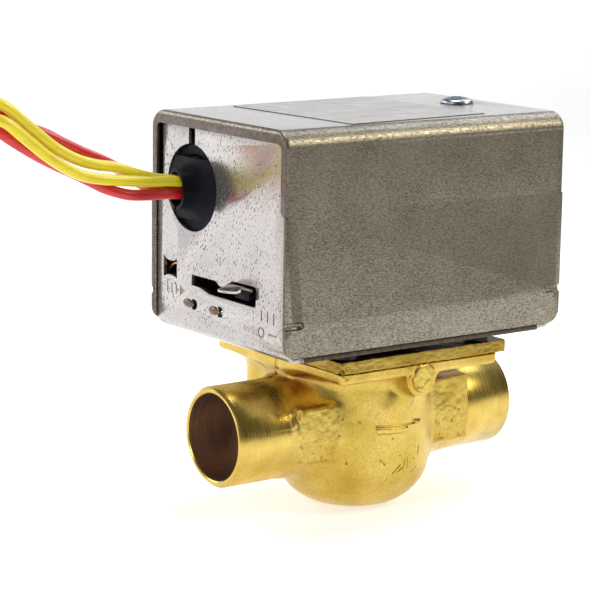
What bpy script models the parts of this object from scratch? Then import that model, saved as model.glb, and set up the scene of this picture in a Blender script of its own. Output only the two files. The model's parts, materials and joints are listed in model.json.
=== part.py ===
"""A motorised zone valve: a forged brass body with two solder sockets, and a sheet-metal actuator head on it.

The origin is the centre of the body's flat underside, +Z runs up the valve chamber, and the pipe runs along X,
with the wired end of the head at -X. All sizes below are in millimetres, and MM turns them into metres.
"""

import math

import bmesh
import bpy
import numpy as np
from mathutils import Matrix, Vector

MM = 0.001

# Body: 3/4 inch copper pipe sweat sockets
PIPE_Z = 22.4
SOCKET_BORE = 11.2
SOCKET_RADIUS = 12.95
SOCKET_DEPTH = 19.0
PORT_X = 44.25
CUP_RADIUS = 20.3
CUP_CORNER = 13.4
CHAMBER_RADIUS = 15.5
CHAMBER_FLOOR = 7.5
SEAT_FACE_X = -13.6
SEAT_RADIUS = 6.0
FLANGE_LOW, FLANGE_TOP = 37.9, 40.7
FLANGE_BOX = (-23.8, -26.5, 26.7, 28.4)
BONNET_LOW, BONNET_TOP = 41.0, 43.9
BONNET_BOX = (-24.0, -26.3, 29.8, 31.0)
HEAD_SCREWS_X = (-20.5, 24.0)
BONNET_SCREWS = ((-19.8, -22.2), (22.6, -22.2), (22.6, 24.2), (-19.8, 24.2))

# Drive: everything that turns with the stem has its axis here
STEM_X, STEM_Y = 0.0, 11.0
STEM_RADIUS = 2.4
STEM_HOLE = 2.6
BALL_RADIUS = 8.0
CLOSED_BALL = (-8.2, 0.0)
TRAVEL_DEG = 20.0
GEAR_MODULE = 0.8
SECTOR_TEETH = 56
PINION_TEETH = 14
PRESSURE_ANGLE = math.radians(25)
BACKLASH = 0.22
MESH_DEG = -30.0
GEAR_LOW, GEAR_TOP = 55.0, 57.2
LEVER_LOW, LEVER_TOP = 59.7, 60.6

# Head: a folded chassis with a drawn cover over it
COVER_FRONT, COVER_BACK = -43.67, 44.64
COVER_HALF = 29.57
COVER_LOW, COVER_TOP = 47.6, 102.7
COVER_SHEET = 0.9
COVER_ROUND = 4.5
COVER_CORNER = 1.3
LIP_SIDE, LIP_TOP, LIP_END = 2.3, 3.3, 81.8
BASE_LOW, BASE_TOP = 46.2, 47.3
PLATE_FRONT, PLATE_BACK = -42.5, -41.5
PLATE_SIDES = (-28.2, 28.2)
PLATE_TOP = 99.2
REAR_FRONT, REAR_BACK = 42.5, 43.5
BEND = 3.2
COVER_SCREW = (33.0, 0.0)

# Motor, on a plate carried by four posts over the gears
MOTOR_X, MOTOR_Y = 17.0, -3.0
MOTOR_PLATE = (63.6, 64.8)
POSTS = ((-3.0, -23.5), (37.5, -23.5), (37.5, 20.0), (-3.0, 24.0))

# End switch
SWITCH_LOW = (-36.0, -25.5, 54.0)
SWITCH_HIGH = (-18.0, -13.0, 66.0)
PLUNGER_X, PLUNGER_Z = -28.0, 60.1

# Leads: two motor leads and two switch leads, each 457 mm (18 inches) long
LEAD_RADIUS = 1.4
BUSHING_Y, BUSHING_Z = 12.7, 84.1
COIL_CENTRE = (-124.0, 22.0)
COIL_INNER, COIL_OUTER, COIL_HEIGHT = 11.3, 23.9, 12.2
LEAD_STARTS = {
    "lead_yellow_1": [(-46, 11.2, 86.1), (-50.2, 11.2, 86.5), (-56.6, 10.7, 86.9), (-65.1, 10, 87.9),
                      (-71.5, 9.5, 88.8), (-77.3, 9, 90.3), (-83, 8.8, 93.2), (-88, 8.8, 96.6),
                      (-93, 8.9, 100.6), (-98, 9.3, 104.4)],
    "lead_yellow_2": [(-46, 14.2, 86.1), (-48.2, 14.2, 86.3), (-53.4, 13.8, 87.2), (-59.8, 12.9, 89),
                      (-65.6, 11.8, 91), (-71.5, 11.1, 92.1), (-77.3, 10.6, 93.9), (-83, 10.4, 96.9),
                      (-88, 10.4, 100.7), (-93, 10.5, 104.8), (-98, 10.9, 108.4)],
    "lead_red_1": [(-46, 11.2, 83), (-50.2, 11.2, 83.4), (-56.6, 10.7, 83.6), (-61.9, 10.4, 84),
                   (-65.6, 10.9, 84.9), (-68.8, 11.8, 86.1), (-72, 12.6, 87.8), (-77.3, 12.6, 90.4),
                   (-83, 12.2, 93), (-88, 11.9, 95.6), (-93, 12, 98.6), (-98, 12.4, 102)],
    "lead_red_2": [(-46, 14.2, 83), (-48.2, 14.4, 83.3), (-53.4, 15.6, 84.6), (-58.7, 16, 87.6),
                   (-64, 15.2, 90.8), (-69.4, 14.4, 93.3), (-74.7, 13.8, 95.5), (-80, 13.4, 98),
                   (-84, 13.5, 100.1), (-89, 13.7, 101.9), (-93, 13.8, 103.6), (-98, 14.2, 106.6)],
}
LEAD_TAIL = [(-104.5, 14, 107.4), (-110, 18.5, 107.6), (-114.5, 23.5, 103), (-117, 28, 94.5),
             (-118, 31.5, 82), (-118.5, 34, 68), (-119.5, 36, 53), (-121, 37.8, 38),
             (-122.5, 39, 25), (-123.5, 39.5, 15.3)]
LEAD_SHIFTS = {
    "lead_yellow_1": (0.6, -2.6, -2.2),
    "lead_yellow_2": (-2.6, -0.6, 2.2),
    "lead_red_1": (2.6, 0.6, -2.2),
    "lead_red_2": (-0.6, 2.6, 2.2),
}

# Castings whose many crossing round cuts leave open edges with Blender's exact solver
MANIFOLD_NODES = ("valve_body", "bonnet_plate")

MATERIALS = {
    "brass": ((0.72, 0.50, 0.13), 0.32, 1.0),
    "turned_brass": ((0.78, 0.58, 0.22), 0.2, 1.0),
    "galvanised": ((0.55, 0.53, 0.50), 0.35, 1.0),
    "steel": ((0.45, 0.43, 0.40), 0.3, 1.0),
    "spring_wire": ((0.62, 0.34, 0.18), 0.3, 1.0),
    "black_plastic": ((0.02, 0.02, 0.022), 0.45, 0.0),
    "brown_plastic": ((0.22, 0.11, 0.05), 0.4, 0.0),
    "rubber": ((0.03, 0.03, 0.03), 0.7, 0.0),
    "fibre": ((0.10, 0.09, 0.08), 0.9, 0.0),
    "foil": ((0.70, 0.68, 0.64), 0.35, 0.6),
    "yellow_pvc": ((0.85, 0.72, 0.02), 0.3, 0.0),
    "red_pvc": ((0.75, 0.02, 0.02), 0.3, 0.0),
}


def material(slot):
    """The shared material of one slot, made the first time it is asked for."""
    found = bpy.data.materials.get(slot)
    if found:
        return found
    colour, roughness, metallic = MATERIALS[slot]
    made = bpy.data.materials.new(slot)
    made.use_nodes = True
    shader = made.node_tree.nodes["Principled BSDF"]
    shader.inputs["Base Color"].default_value = (*colour, 1.0)
    shader.inputs["Roughness"].default_value = roughness
    shader.inputs["Metallic"].default_value = metallic
    made.diffuse_color = (*colour, 1.0)
    return made


def finish(name, shape, slot=None, smooth_deg=30):
    """Turns a bmesh in millimetres into an object in metres. Without a slot it is a hidden cutter."""
    bmesh.ops.remove_doubles(shape, verts=shape.verts, dist=1e-5)
    bmesh.ops.recalc_face_normals(shape, faces=shape.faces)
    bmesh.ops.scale(shape, vec=(MM, MM, MM), verts=shape.verts)
    mesh = bpy.data.meshes.new(name)
    shape.to_mesh(mesh)
    shape.free()
    mesh.shade_smooth()
    mesh.set_sharp_from_angle(angle=math.radians(smooth_deg))
    thing = bpy.data.objects.new(name, mesh)
    bpy.context.scene.collection.objects.link(thing)
    if slot:
        mesh.materials.append(material(slot))
    else:
        thing.hide_render = True
        thing.display_type = "WIRE"
    return thing


def turned(profile, centre=(0, 0, 0), axis="Z", steps=32):
    """A bmesh turned about an axis through centre, from a closed outline of (radius, height along the axis)."""
    shape = bmesh.new()
    rings = []
    for radius, height in profile:
        count = 1 if radius < 1e-6 else steps
        ring = []
        for k in range(count):
            angle = 2 * math.pi * k / steps
            ring.append(shape.verts.new((radius * math.cos(angle), radius * math.sin(angle), height)))
        rings.append(ring)
    for low, high in zip(rings, rings[1:] + rings[:1]):
        for k in range(steps):
            corners = [low[k % len(low)], low[(k + 1) % len(low)], high[(k + 1) % len(high)], high[k % len(high)]]
            corners = list(dict.fromkeys(corners))
            if len(corners) > 2:
                shape.faces.new(corners)
    turn = {"Z": Matrix(), "X": Matrix.Rotation(math.pi / 2, 4, "Y"), "Y": Matrix.Rotation(-math.pi / 2, 4, "X")}
    bmesh.ops.transform(shape, matrix=Matrix.Translation(centre) @ turn[axis], verts=shape.verts)
    return shape


def rod(radius, low, high, centre=(0, 0), axis="Z", steps=32, chamfer=0.0):
    """A plain round bar from low to high along an axis. centre gives the other two coordinates, in order."""
    c = chamfer
    ends = [(0, low), (radius - c, low), (radius, low + c), (radius, high - c), (radius - c, high), (0, high)]
    if not c:
        ends = [(0, low), (radius, low), (radius, high), (0, high)]
    place = {"Z": (*centre, 0), "X": (0, *centre), "Y": (centre[0], 0, centre[1])}[axis]
    return turned(ends, place, axis, steps)


def ring(inner, outer, low, high, centre=(0, 0), axis="Z", steps=24):
    """A plain washer or tube."""
    place = {"Z": (*centre, 0), "X": (0, *centre), "Y": (centre[0], 0, centre[1])}[axis]
    return turned([(inner, low), (outer, low), (outer, high), (inner, high)], place, axis, steps)


def box(low, high, rounded=0.0, edges="ALL", segments=2):
    """A box between two corners. edges says which are rounded: ALL, or Z for the upright ones."""
    shape = bmesh.new()
    bmesh.ops.create_cube(shape, size=1.0)
    size = Vector(high) - Vector(low)
    bmesh.ops.scale(shape, vec=size, verts=shape.verts)
    bmesh.ops.translate(shape, vec=(Vector(high) + Vector(low)) / 2, verts=shape.verts)
    if rounded:
        chosen = [e for e in shape.edges
                  if edges == "ALL" or abs(e.verts[0].co.z - e.verts[1].co.z) > 1e-4]
        bmesh.ops.bevel(shape, geom=chosen, offset=rounded, segments=segments, profile=0.5, affect="EDGES")
    return shape


def prism(outline, low, high, axis="Z"):
    """An outline of two coordinates, extruded along the third axis from low to high."""
    shape = bmesh.new()
    place = {
        "Z": lambda a, b, h: (a, b, h),
        "X": lambda a, b, h: (h, a, b),
        "Y": lambda a, b, h: (a, h, b),
    }[axis]
    bottom = [shape.verts.new(place(a, b, low)) for a, b in outline]
    top = [shape.verts.new(place(a, b, high)) for a, b in outline]
    shape.faces.new(bottom)
    shape.faces.new(top)
    for k in range(len(outline)):
        n = (k + 1) % len(outline)
        shape.faces.new((bottom[k], bottom[n], top[n], top[k]))
    return shape


def arc(centre, radius, start_deg, end_deg, steps):
    """Points on a circular arc, both ends included."""
    return [(centre[0] + radius * math.cos(math.radians(a)), centre[1] + radius * math.sin(math.radians(a)))
            for a in np.linspace(start_deg, end_deg, steps + 1)]


def combine(target, shape, operation):
    """Adds or cuts a bmesh to or from an object, with a hidden helper object."""
    helper = finish(target.name + "_tool", shape)
    step = target.modifiers.new(operation.lower(), "BOOLEAN")
    step.operation = operation
    step.object = helper
    step.solver = "MANIFOLD" if target.name in MANIFOLD_NODES else "EXACT"
    return target


def cut(target, *shapes):
    for shape in shapes:
        combine(target, shape, "DIFFERENCE")
    return target


def add(target, *shapes):
    for shape in shapes:
        combine(target, shape, "UNION")
    return target


def on_pivot(thing, pivot):
    """Puts an object's origin on its joint's axis, without moving its shape."""
    place = Vector(pivot) * MM
    thing.data.transform(Matrix.Translation(-place))
    thing.location = place


def smooth_route(points, samples):
    """Even samples along a Catmull-Rom curve through the route's points."""
    p = np.array(points, float)
    p = np.vstack([2 * p[0] - p[1], p, 2 * p[-1] - p[-2]])
    fine = []
    for a, b, c, d in zip(p, p[1:], p[2:], p[3:]):
        for t in np.linspace(0, 1, 12, endpoint=False):
            fine.append(0.5 * (2 * b + (c - a) * t + (2 * a - 5 * b + 4 * c - d) * t**2
                               + (3 * b - a - 3 * c + d) * t**3))
    fine = np.array(fine + [p[-2]])
    along = np.concatenate([[0], np.cumsum(np.linalg.norm(np.diff(fine, axis=0), axis=1))])
    wanted = np.linspace(0, along[-1], samples)
    return np.column_stack([np.interp(wanted, along, fine[:, k]) for k in range(3)])


def wire(name, points, radius, slot):
    """A round wire along points, with closed ends."""
    curve = bpy.data.curves.new(name, "CURVE")
    curve.dimensions = "3D"
    curve.bevel_depth = radius * MM
    curve.bevel_resolution = 2
    curve.use_fill_caps = True
    spline = curve.splines.new("POLY")
    spline.points.add(len(points) - 1)
    for target, point in zip(spline.points, points):
        target.co = (*[float(v) * MM for v in point], 1.0)
    curve.materials.append(material(slot))
    thing = bpy.data.objects.new(name, curve)
    bpy.context.scene.collection.objects.link(thing)
    return thing


def screw(name, centre, head_low, head_radius, head_height, shank_radius, tip, slot="steel"):
    """A pan-head screw that points down."""
    x, y = centre
    top = head_low + head_height
    outline = [(0, tip), (shank_radius, tip), (shank_radius, head_low), (head_radius, head_low),
               (head_radius, top - 0.5), (head_radius - 0.7, top), (0, top)]
    return finish(name, turned(outline, (x, y, 0), steps=12), slot)


# ---------------------------------------------------------------- valve body

def make_body():
    corner = arc((CUP_RADIUS - CUP_CORNER, CUP_CORNER), CUP_CORNER, -90, 0, 6)
    cup = turned([(0, 0)] + corner + [(CUP_RADIUS, FLANGE_LOW + 1), (0, FLANGE_LOW + 1)], steps=40)
    body = finish("valve_body", cup, "brass")
    c = 1.0
    pipe = [(0, -PORT_X), (SOCKET_RADIUS - c, -PORT_X), (SOCKET_RADIUS, -PORT_X + c), (SOCKET_RADIUS, -29.5),
            (SOCKET_RADIUS + 0.45, -28.8), (SOCKET_RADIUS + 0.45, 28.8), (SOCKET_RADIUS, 29.5),
            (SOCKET_RADIUS, PORT_X - c), (SOCKET_RADIUS - c, PORT_X), (0, PORT_X)]
    add(body, turned(pipe, (0, 0, PIPE_Z), "X", steps=32))
    x0, y0, x1, y1 = FLANGE_BOX
    add(body, box((x0, y0, FLANGE_LOW), (x1, y1, FLANGE_TOP), 3.0, "Z"))
    add(body, box((-21.5, 1.0, 24.0), (21.5, 24.0, FLANGE_LOW + 1), 7.0, "Z", 3))
    for low, high, foot, head in ((-26.4, -15.5, 15.6, 29.8), (15.5, 28.2, 15.2, 32.6)):
        add(body, box((low, -13.7, foot), (high, 0.0, head), 1.0, segments=1))
    add(body, rod(3.5, -26.9, -18.0, (2.3, 36.9), "Y", steps=16))
    chamber = finish("chamber_tool", rod(CHAMBER_RADIUS, CHAMBER_FLOOR, FLANGE_TOP + 1, steps=40))
    cut(chamber, rod(8.6, -20.0, SEAT_FACE_X, (0, PIPE_Z), "X", steps=32))
    step = body.modifiers.new("chamber", "BOOLEAN")
    step.operation = "DIFFERENCE"
    step.object = chamber
    step.solver = "MANIFOLD"
    cut(body, rod(5.7, 32.0, FLANGE_TOP + 1, (STEM_X, STEM_Y), steps=24))
    for side in (-1, 1):
        low, high = sorted((side * (PORT_X + 1), side * (PORT_X - SOCKET_DEPTH)))
        cut(body, rod(SOCKET_BORE, low, high, (0, PIPE_Z), "X", steps=32))
    cut(body, rod(SEAT_RADIUS, -PORT_X + SOCKET_DEPTH - 1, -10, (0, PIPE_Z), "X", steps=32))
    cut(body, rod(8.0, 10, PORT_X - SOCKET_DEPTH + 1, (0, PIPE_Z), "X", steps=32))
    cut(body, ring(17.1, 19.9, 39.5, FLANGE_TOP + 1, steps=32))
    for place in BONNET_SCREWS:
        cut(body, rod(2.0, 30.0, FLANGE_TOP + 1, place, steps=10))
    return body


def make_bonnet():
    x0, y0, x1, y1 = BONNET_BOX
    bonnet = finish("bonnet_plate", box((x0, y0, BONNET_LOW), (x1, y1, BONNET_TOP), 3.0, "Z"), "brass")
    add(bonnet, rod(5.2, 33.4, BONNET_LOW + 1, (STEM_X, STEM_Y), steps=24))
    stepped = [(0, 30), (STEM_HOLE, 30), (STEM_HOLE, 34.8), (4.3, 34.8), (4.3, 60), (0, 60)]
    cut(bonnet, turned(stepped, (STEM_X, STEM_Y, 0), steps=24))
    for place in BONNET_SCREWS:
        cut(bonnet, rod(2.0, 30, 60, place, steps=10))
    for x in HEAD_SCREWS_X:
        cut(bonnet, rod(1.6, 42.0, 60, (x, 0), steps=12))
    finish("bonnet_gasket", ring(17.5, 19.4, 39.8, 40.75, steps=32), "rubber")
    for k, place in enumerate(BONNET_SCREWS):
        screw(f"bonnet_screw_{k + 1}", place, 44.2, 3.2, 1.7, 1.7, 38.3)


def make_stem():
    place = (STEM_X, STEM_Y, 0)
    for name, height in (("stem_o_ring_lower", 35.8), ("stem_o_ring_upper", 40.9)):
        outline = arc((3.45, height), 0.7, 0, 360 - 360 / 8, 7)
        on_pivot(finish(name, turned(outline, place, steps=16), "rubber"), place)
    finish("stem_bushing", ring(STEM_HOLE, 4.1, 37.0, 39.8, (STEM_X, STEM_Y), steps=24), "turned_brass")
    finish("stem_retainer", ring(STEM_HOLE, 4.1, 42.2, 43.6, (STEM_X, STEM_Y), steps=24), "steel")
    stem = finish("stem", rod(STEM_RADIUS, 29.6, 62.4, (STEM_X, STEM_Y), steps=24, chamfer=0.4), "steel")
    on_pivot(stem, place)
    open_x, open_y = open_ball()
    arm = finish("ball_arm", ring(STEM_HOLE, 4.4, 30.8, 32.6, (STEM_X, STEM_Y), steps=24), "turned_brass")
    reach = Vector((open_x - STEM_X, open_y - STEM_Y))
    side = Vector((-reach.y, reach.x)).normalized() * 2.2
    start = Vector((STEM_X, STEM_Y)) + reach.normalized() * 3.6
    end = Vector((open_x, open_y))
    add(arm, prism([start + side, start - side, end - side, end + side], 30.8, 32.6))
    add(arm, rod(2.6, 30.8, 32.6, (open_x, open_y), steps=20))
    add(arm, rod(1.4, PIPE_Z - 2, 31.0, (open_x, open_y), steps=16))
    on_pivot(arm, place)
    outline = [(BALL_RADIUS * math.sin(a), PIPE_Z - BALL_RADIUS * math.cos(a)) for a in np.linspace(0, math.pi, 13)]
    ball = finish("rubber_ball", turned(outline, (open_x, open_y, 0), steps=24), "rubber")
    cut(ball, rod(1.7, PIPE_Z - 2.4, 40, (open_x, open_y), steps=16))
    on_pivot(ball, place)


def open_ball():
    """Where the ball's centre is with the valve open: its closed place, swung back about the stem."""
    closed = Vector((CLOSED_BALL[0] - STEM_X, CLOSED_BALL[1] - STEM_Y))
    closed.rotate(Matrix.Rotation(math.radians(TRAVEL_DEG), 2))
    return STEM_X + closed.x, STEM_Y + closed.y


# ---------------------------------------------------------------- gears, lever and spring

def tooth(teeth, module, centre_angle):
    """Half a pitch of involute tooth either side of centre_angle: root, two flanks and tip, as (radius, angle)."""
    pitch = module * teeth / 2
    base = pitch * math.cos(PRESSURE_ANGLE)
    tip = pitch + 0.9 * module
    root = pitch - 1.15 * module
    involute = math.tan(PRESSURE_ANGLE) - PRESSURE_ANGLE
    half = math.pi / (2 * teeth) - BACKLASH / (4 * pitch)
    flank = []
    for radius in np.linspace(max(base, root), tip, 3):
        roll = math.acos(base / radius)
        flank.append((radius, half + involute - (math.tan(roll) - roll)))
    flank = [(root, flank[0][1] + 0.004)] + flank
    return ([(r, centre_angle - a) for r, a in flank] + [(r, centre_angle + a) for r, a in reversed(flank)])


def gear_points(teeth, module, centre, first_angle, count):
    points = []
    for k in range(count):
        for radius, angle in tooth(teeth, module, first_angle + 2 * math.pi * k / teeth):
            points.append((centre[0] + radius * math.cos(angle), centre[1] + radius * math.sin(angle)))
    return points


def make_gears():
    centre = (STEM_X, STEM_Y)
    mesh_angle = math.radians(MESH_DEG)
    step = 2 * math.pi / SECTOR_TEETH
    rim = gear_points(SECTOR_TEETH, GEAR_MODULE, centre, mesh_angle - 2.5 * step, 9)
    hub = arc(centre, 6.0, MESH_DEG + 60, MESH_DEG + 320, 14)
    sector = finish("sector_gear", prism(rim + hub, GEAR_LOW, GEAR_TOP), "turned_brass")
    add(sector, rod(5.4, GEAR_LOW, LEVER_LOW - 0.3, centre, steps=24))
    cut(sector, rod(STEM_HOLE, 50, 62, centre, steps=24))
    pin_x, pin_y = spring_pin_place()
    cut(sector, rod(1.3, 50, 62, (pin_x, pin_y), steps=12))
    on_pivot(sector, (*centre, 0))
    pin = finish("spring_pin", turned([(0, 52.3), (1.0, 52.3), (1.0, 57.5), (1.8, 57.5), (1.8, 58.3), (0, 58.3)],
                                      (pin_x, pin_y, 0), steps=14), "steel")
    on_pivot(pin, (*centre, 0))
    distance = GEAR_MODULE * (SECTOR_TEETH + PINION_TEETH) / 2
    pinion_centre = (STEM_X + distance * math.cos(mesh_angle), STEM_Y + distance * math.sin(mesh_angle))
    first = mesh_angle + math.pi
    points = gear_points(PINION_TEETH, GEAR_MODULE, pinion_centre, first, PINION_TEETH)
    pinion = finish("motor_pinion", prism(points, 54.6, 57.6), "steel")
    add(pinion, rod(1.6, 57.0, 68.0, pinion_centre, steps=16))
    on_pivot(pinion, (*pinion_centre, 0))
    return pinion_centre


def spring_pin_place():
    angle = math.radians(-18)
    return STEM_X + 12 * math.cos(angle), STEM_Y + 12 * math.sin(angle)


def make_return_spring():
    """A torsion spring round the stem. Its low end reaches to the front plate, its top end pushes on the pin."""
    radius, low, high, sweep = 6.3, 49.4, 53.7, 3 * 360 + 40.5
    coil = []
    for share in np.linspace(0, 1, 36):
        angle = math.radians(90 - sweep * share)
        coil.append((STEM_X + radius * math.cos(angle), STEM_Y + radius * math.sin(angle),
                     low + (high - low) * share))
    leg = [(-40.1, 28.2, 57.5), (-40.2, 27.8, 59.8), (-40.3, 26.6, 61.6), (-40.3, 24.8, 62.5), (-40.1, 22.6, 62.4),
           (-39.5, 20.0, 60.6), (-37.8, 18.2, 57.0), (-34.0, 17.4, 53.0), (-26.0, 17.3, 50.4), (-14.0, 17.3, 49.4)]
    first = smooth_route(leg + coil[:2], 16)
    way = math.radians(90 - sweep - 90)
    end = (coil[-1][0] + 12 * math.cos(way), coil[-1][1] + 12 * math.sin(way), high)
    wire("return_spring", list(first) + coil[2:] + [end], 0.5, "spring_wire")


def make_lever():
    """The manual lever: a flat arm through the slot, with a raised finger tab outside the front plate."""
    centre = (STEM_X, STEM_Y)
    lever = finish("manual_lever", ring(STEM_HOLE, 6.0, LEVER_LOW, LEVER_TOP, centre, steps=28), "steel")
    add(lever, prism([(-3.4, 14.6), (-4.6, 8.0), (-20.0, -2.6), (-43.6, -14.6), (-43.6, -8.4), (-22.0, 3.8)],
                     LEVER_LOW, LEVER_TOP))
    add(lever, box((-43.9, -14.8, LEVER_LOW), (-43.0, -9.0, 62.4)))
    add(lever, prism([(-44.0, LEVER_LOW), (-44.0, 62.0), (-44.6, 62.6), (-47.6, 61.4), (-47.9, 60.6),
                      (-47.6, 60.3), (-47.1, 60.8), (-44.7, 61.7), (-43.3, 61.4), (-43.3, LEVER_LOW)],
                     -10.6, -6.2, "Y"))
    on_pivot(lever, (*centre, 0))
    clip = finish("stem_clip", ring(STEM_HOLE, 4.6, 60.95, 61.6, centre, steps=20), "steel")
    on_pivot(clip, (*centre, 0))


# ---------------------------------------------------------------- chassis and cover

def make_chassis():
    """The folded sheet: base, front plate and rear plate in one piece, with the cover screw's tab at the back."""
    sheet = BASE_TOP - BASE_LOW
    front_bend = arc((PLATE_FRONT + BEND, BASE_LOW + BEND), BEND, 180, 270, 5)
    rear_bend = arc((REAR_BACK - BEND, BASE_LOW + BEND), BEND, 270, 360, 5)
    rear_inner = arc((REAR_BACK - BEND, BASE_LOW + BEND), BEND - 1.0, 360, 270, 5)
    front_inner = arc((PLATE_FRONT + BEND, BASE_LOW + BEND), BEND - 1.0, 270, 180, 5)
    outline = ([(PLATE_FRONT, PLATE_TOP)] + front_bend + rear_bend + [(REAR_BACK, 98.0), (26.5, 98.0), (26.5, 97.0),
               (REAR_FRONT, 97.0)] + rear_inner + front_inner + [(PLATE_BACK, PLATE_TOP)])
    chassis = finish("chassis", prism(outline, *PLATE_SIDES, "Y"), "galvanised")
    add(chassis, box((-37.6, -29.3, BASE_LOW), (37.6, 29.3, BASE_LOW + sheet)))
    for low, high in ((-40, -8.5), (8.5, 40)):
        cut(chassis, box((20, low, 96), (REAR_FRONT - 0.02, high, 99)))
    cut(chassis, rod(1.7, 90, 105, COVER_SCREW, steps=14))
    cut(chassis, rod(11.1, -46, -40, (BUSHING_Y, BUSHING_Z), "X", steps=28))
    cut(chassis, box((-46, 11.3, 94), (-40, 14.1, 105)))
    cut(chassis, box((-46, 25.9, 84), (-40, 30, 105)))
    cut(chassis, box((-46, 19.3, 59.6), (-40, 25.6, 65.2)))
    slot = [(12.5, 62.0), (1.8, 62.05), (0.0, 61.0), (-1.6, 61.0), (-5.6, 63.1), (-14.6, 63.2), (-15.8, 62.4),
            (-15.8, 58.8), (-14.8, 58.0), (4.6, 58.1), (8.7, 59.15), (12.5, 59.25)]
    cut(chassis, prism(slot, -46, -40, "X"))
    for y in (11.3, -0.35):
        cut(chassis, rod(1.35, -46, -40, (y, 54.4), "X", steps=14))
    cut(chassis, rod(4.9, 40, 50, (STEM_X, STEM_Y), steps=24))
    for x in HEAD_SCREWS_X:
        cut(chassis, rod(1.8, 40, 50, (x, 0), steps=14))
    for place in POSTS:
        cut(chassis, rod(1.4, 40, 50, place, steps=12))
    for k, x in enumerate(HEAD_SCREWS_X):
        screw(f"head_screw_{k + 1}", (x, 0), 47.6, 3.2, 1.9, 1.3, 42.5)
    spacer = finish("heat_insulator", ring(5.4, 16.0, 44.2, 45.9, steps=36), "fibre")
    cut(spacer, rod(4.9, 40, 50, (STEM_X, STEM_Y), steps=16))
    bearing = [(STEM_HOLE, 46.0), (4.5, 46.0), (4.5, 47.6), (5.6, 47.6), (5.6, 48.4), (STEM_HOLE, 48.4)]
    finish("stem_bearing", turned(bearing, (STEM_X, STEM_Y, 0), steps=24), "turned_brass")


def make_cover():
    sheet = COVER_SHEET
    outer = rounded_box(COVER_FRONT, COVER_BACK, COVER_HALF, COVER_LOW, COVER_TOP, COVER_ROUND, COVER_CORNER)
    cover = finish("cover", outer, "galvanised", 40)
    cut(cover, rounded_box(COVER_FRONT + sheet, COVER_BACK - sheet, COVER_HALF - sheet, COVER_LOW - 5,
                           COVER_TOP - sheet, COVER_ROUND - sheet, COVER_CORNER - sheet))
    for face, way in ((COVER_FRONT, -1), (COVER_BACK, 1)):
        low, high = sorted((face + way * 3, face - way * (sheet + 0.02)))
        half = COVER_HALF - LIP_SIDE
        cut(cover, box((low, -half, 0), (high, half, COVER_TOP - LIP_TOP)))
        cut(cover, box((low, -40, 0), (high, 40, LIP_END)))
        for side in (COVER_HALF - sheet, -COVER_HALF):
            near, far = sorted((face, face - way * 2.5))
            add(cover, box((near, side, COVER_LOW), (far, side + sheet, LIP_END)))
    cut(cover, rod(2.1, 95, 110, COVER_SCREW, steps=16))
    outline = [(0, 92.5), (1.5, 92.5), (1.5, 103.0)] + [(4.4 - 1.6 * t, 103.0 + 1.4 * math.sin(t * math.pi / 2))
                                                        for t in (0, 0.5, 1)] + [(0, 104.6)]
    top_screw = finish("cover_screw", turned(outline, (*COVER_SCREW, 0), steps=24), "steel")
    x, y = COVER_SCREW
    cut(top_screw, box((x - 0.5, y - 2.4, 103.9), (x + 0.5, y + 2.4, 105)))
    cut(top_screw, box((x - 2.4, y - 0.5, 103.9), (x + 2.4, y + 0.5, 105)))
    finish("cover_nut", ring(2.1, 4.2, 93.6, 96.7, COVER_SCREW, steps=6), "steel")
    turn = Matrix.Rotation(math.radians(3.0), 4, "Z")
    label = box((-22.5, -24.3, COVER_TOP + 0.1), (21.5, 23.2, COVER_TOP + 0.3), 2.0, "Z")
    bmesh.ops.transform(label, matrix=turn, verts=label.verts)
    finish("blank_label", label, "foil")


def rounded_box(x_low, x_high, half, low, top, roof_round, edge_round):
    """A box whose roof folds down to its sides at one radius, and whose two ends are drawn round at another."""
    stations = [(x_low + edge_round * (1 - math.sin(a)), edge_round * (1 - math.cos(a)))
                for a in np.linspace(math.pi / 2, 0, 4)]
    stations += [(x_low + x_high - x, inset) for x, inset in reversed(stations)]
    shape = bmesh.new()
    rows = []
    for x, inset in stations:
        round_now, side, roof = roof_round - inset, half - inset, top - inset
        outline = [(-side, low), (side, low)] + arc((side - round_now, roof - round_now), round_now, 0, 90, 5)
        outline += arc((round_now - side, roof - round_now), round_now, 90, 180, 5)
        rows.append([shape.verts.new((x, y, z)) for y, z in outline])
    for lower, upper in zip(rows, rows[1:]):
        for k in range(len(lower)):
            n = (k + 1) % len(lower)
            shape.faces.new((lower[k], lower[n], upper[n], upper[k]))
    shape.faces.new(rows[0])
    shape.faces.new(rows[-1])
    return shape


# ---------------------------------------------------------------- motor and end switch

def make_motor(pinion_centre):
    low, high = MOTOR_PLATE
    plate = finish("motor_plate", box((-6.5, -27.0, low), (41.0, 27.2, high), 3.0, "Z"), "galvanised")
    cut(plate, rod(5.0, 60, 70, pinion_centre, steps=24))
    cut(plate, box((4.0, 17.5, 60), (34.0, 40.0, 70)))
    for k, place in enumerate(POSTS):
        cut(plate, rod(1.6, 60, 70, place, steps=12))
        post = finish(f"motor_post_{k + 1}", rod(2.6, BASE_TOP + 0.3, low - 0.3, place, steps=16), "steel")
        cut(post, rod(1.6, 57, 70, place, steps=12))
        screw(f"plate_screw_{k + 1}", place, high + 0.3, 2.6, 1.7, 1.3, 58.0)
    gearbox = finish("motor_gearbox", rod(22.0, high + 0.3, 73.0, (MOTOR_X, MOTOR_Y), steps=32, chamfer=0.8),
                     "galvanised")
    cut(gearbox, rod(1.9, 60, 69.0, pinion_centre, steps=16))
    finish("motor_can", rod(20.5, 73.3, 91.0, (MOTOR_X, MOTOR_Y), steps=32, chamfer=1.6), "galvanised")
    outlet = finish("motor_wire_outlet", box((-9.0, -8.5, 76.0), (-4.2, 2.5, 83.0), 0.8), "brown_plastic")
    cut(outlet, rod(SOCKET_RADIUS + 7.9, 70, 90, (MOTOR_X, MOTOR_Y), steps=36))


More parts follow.
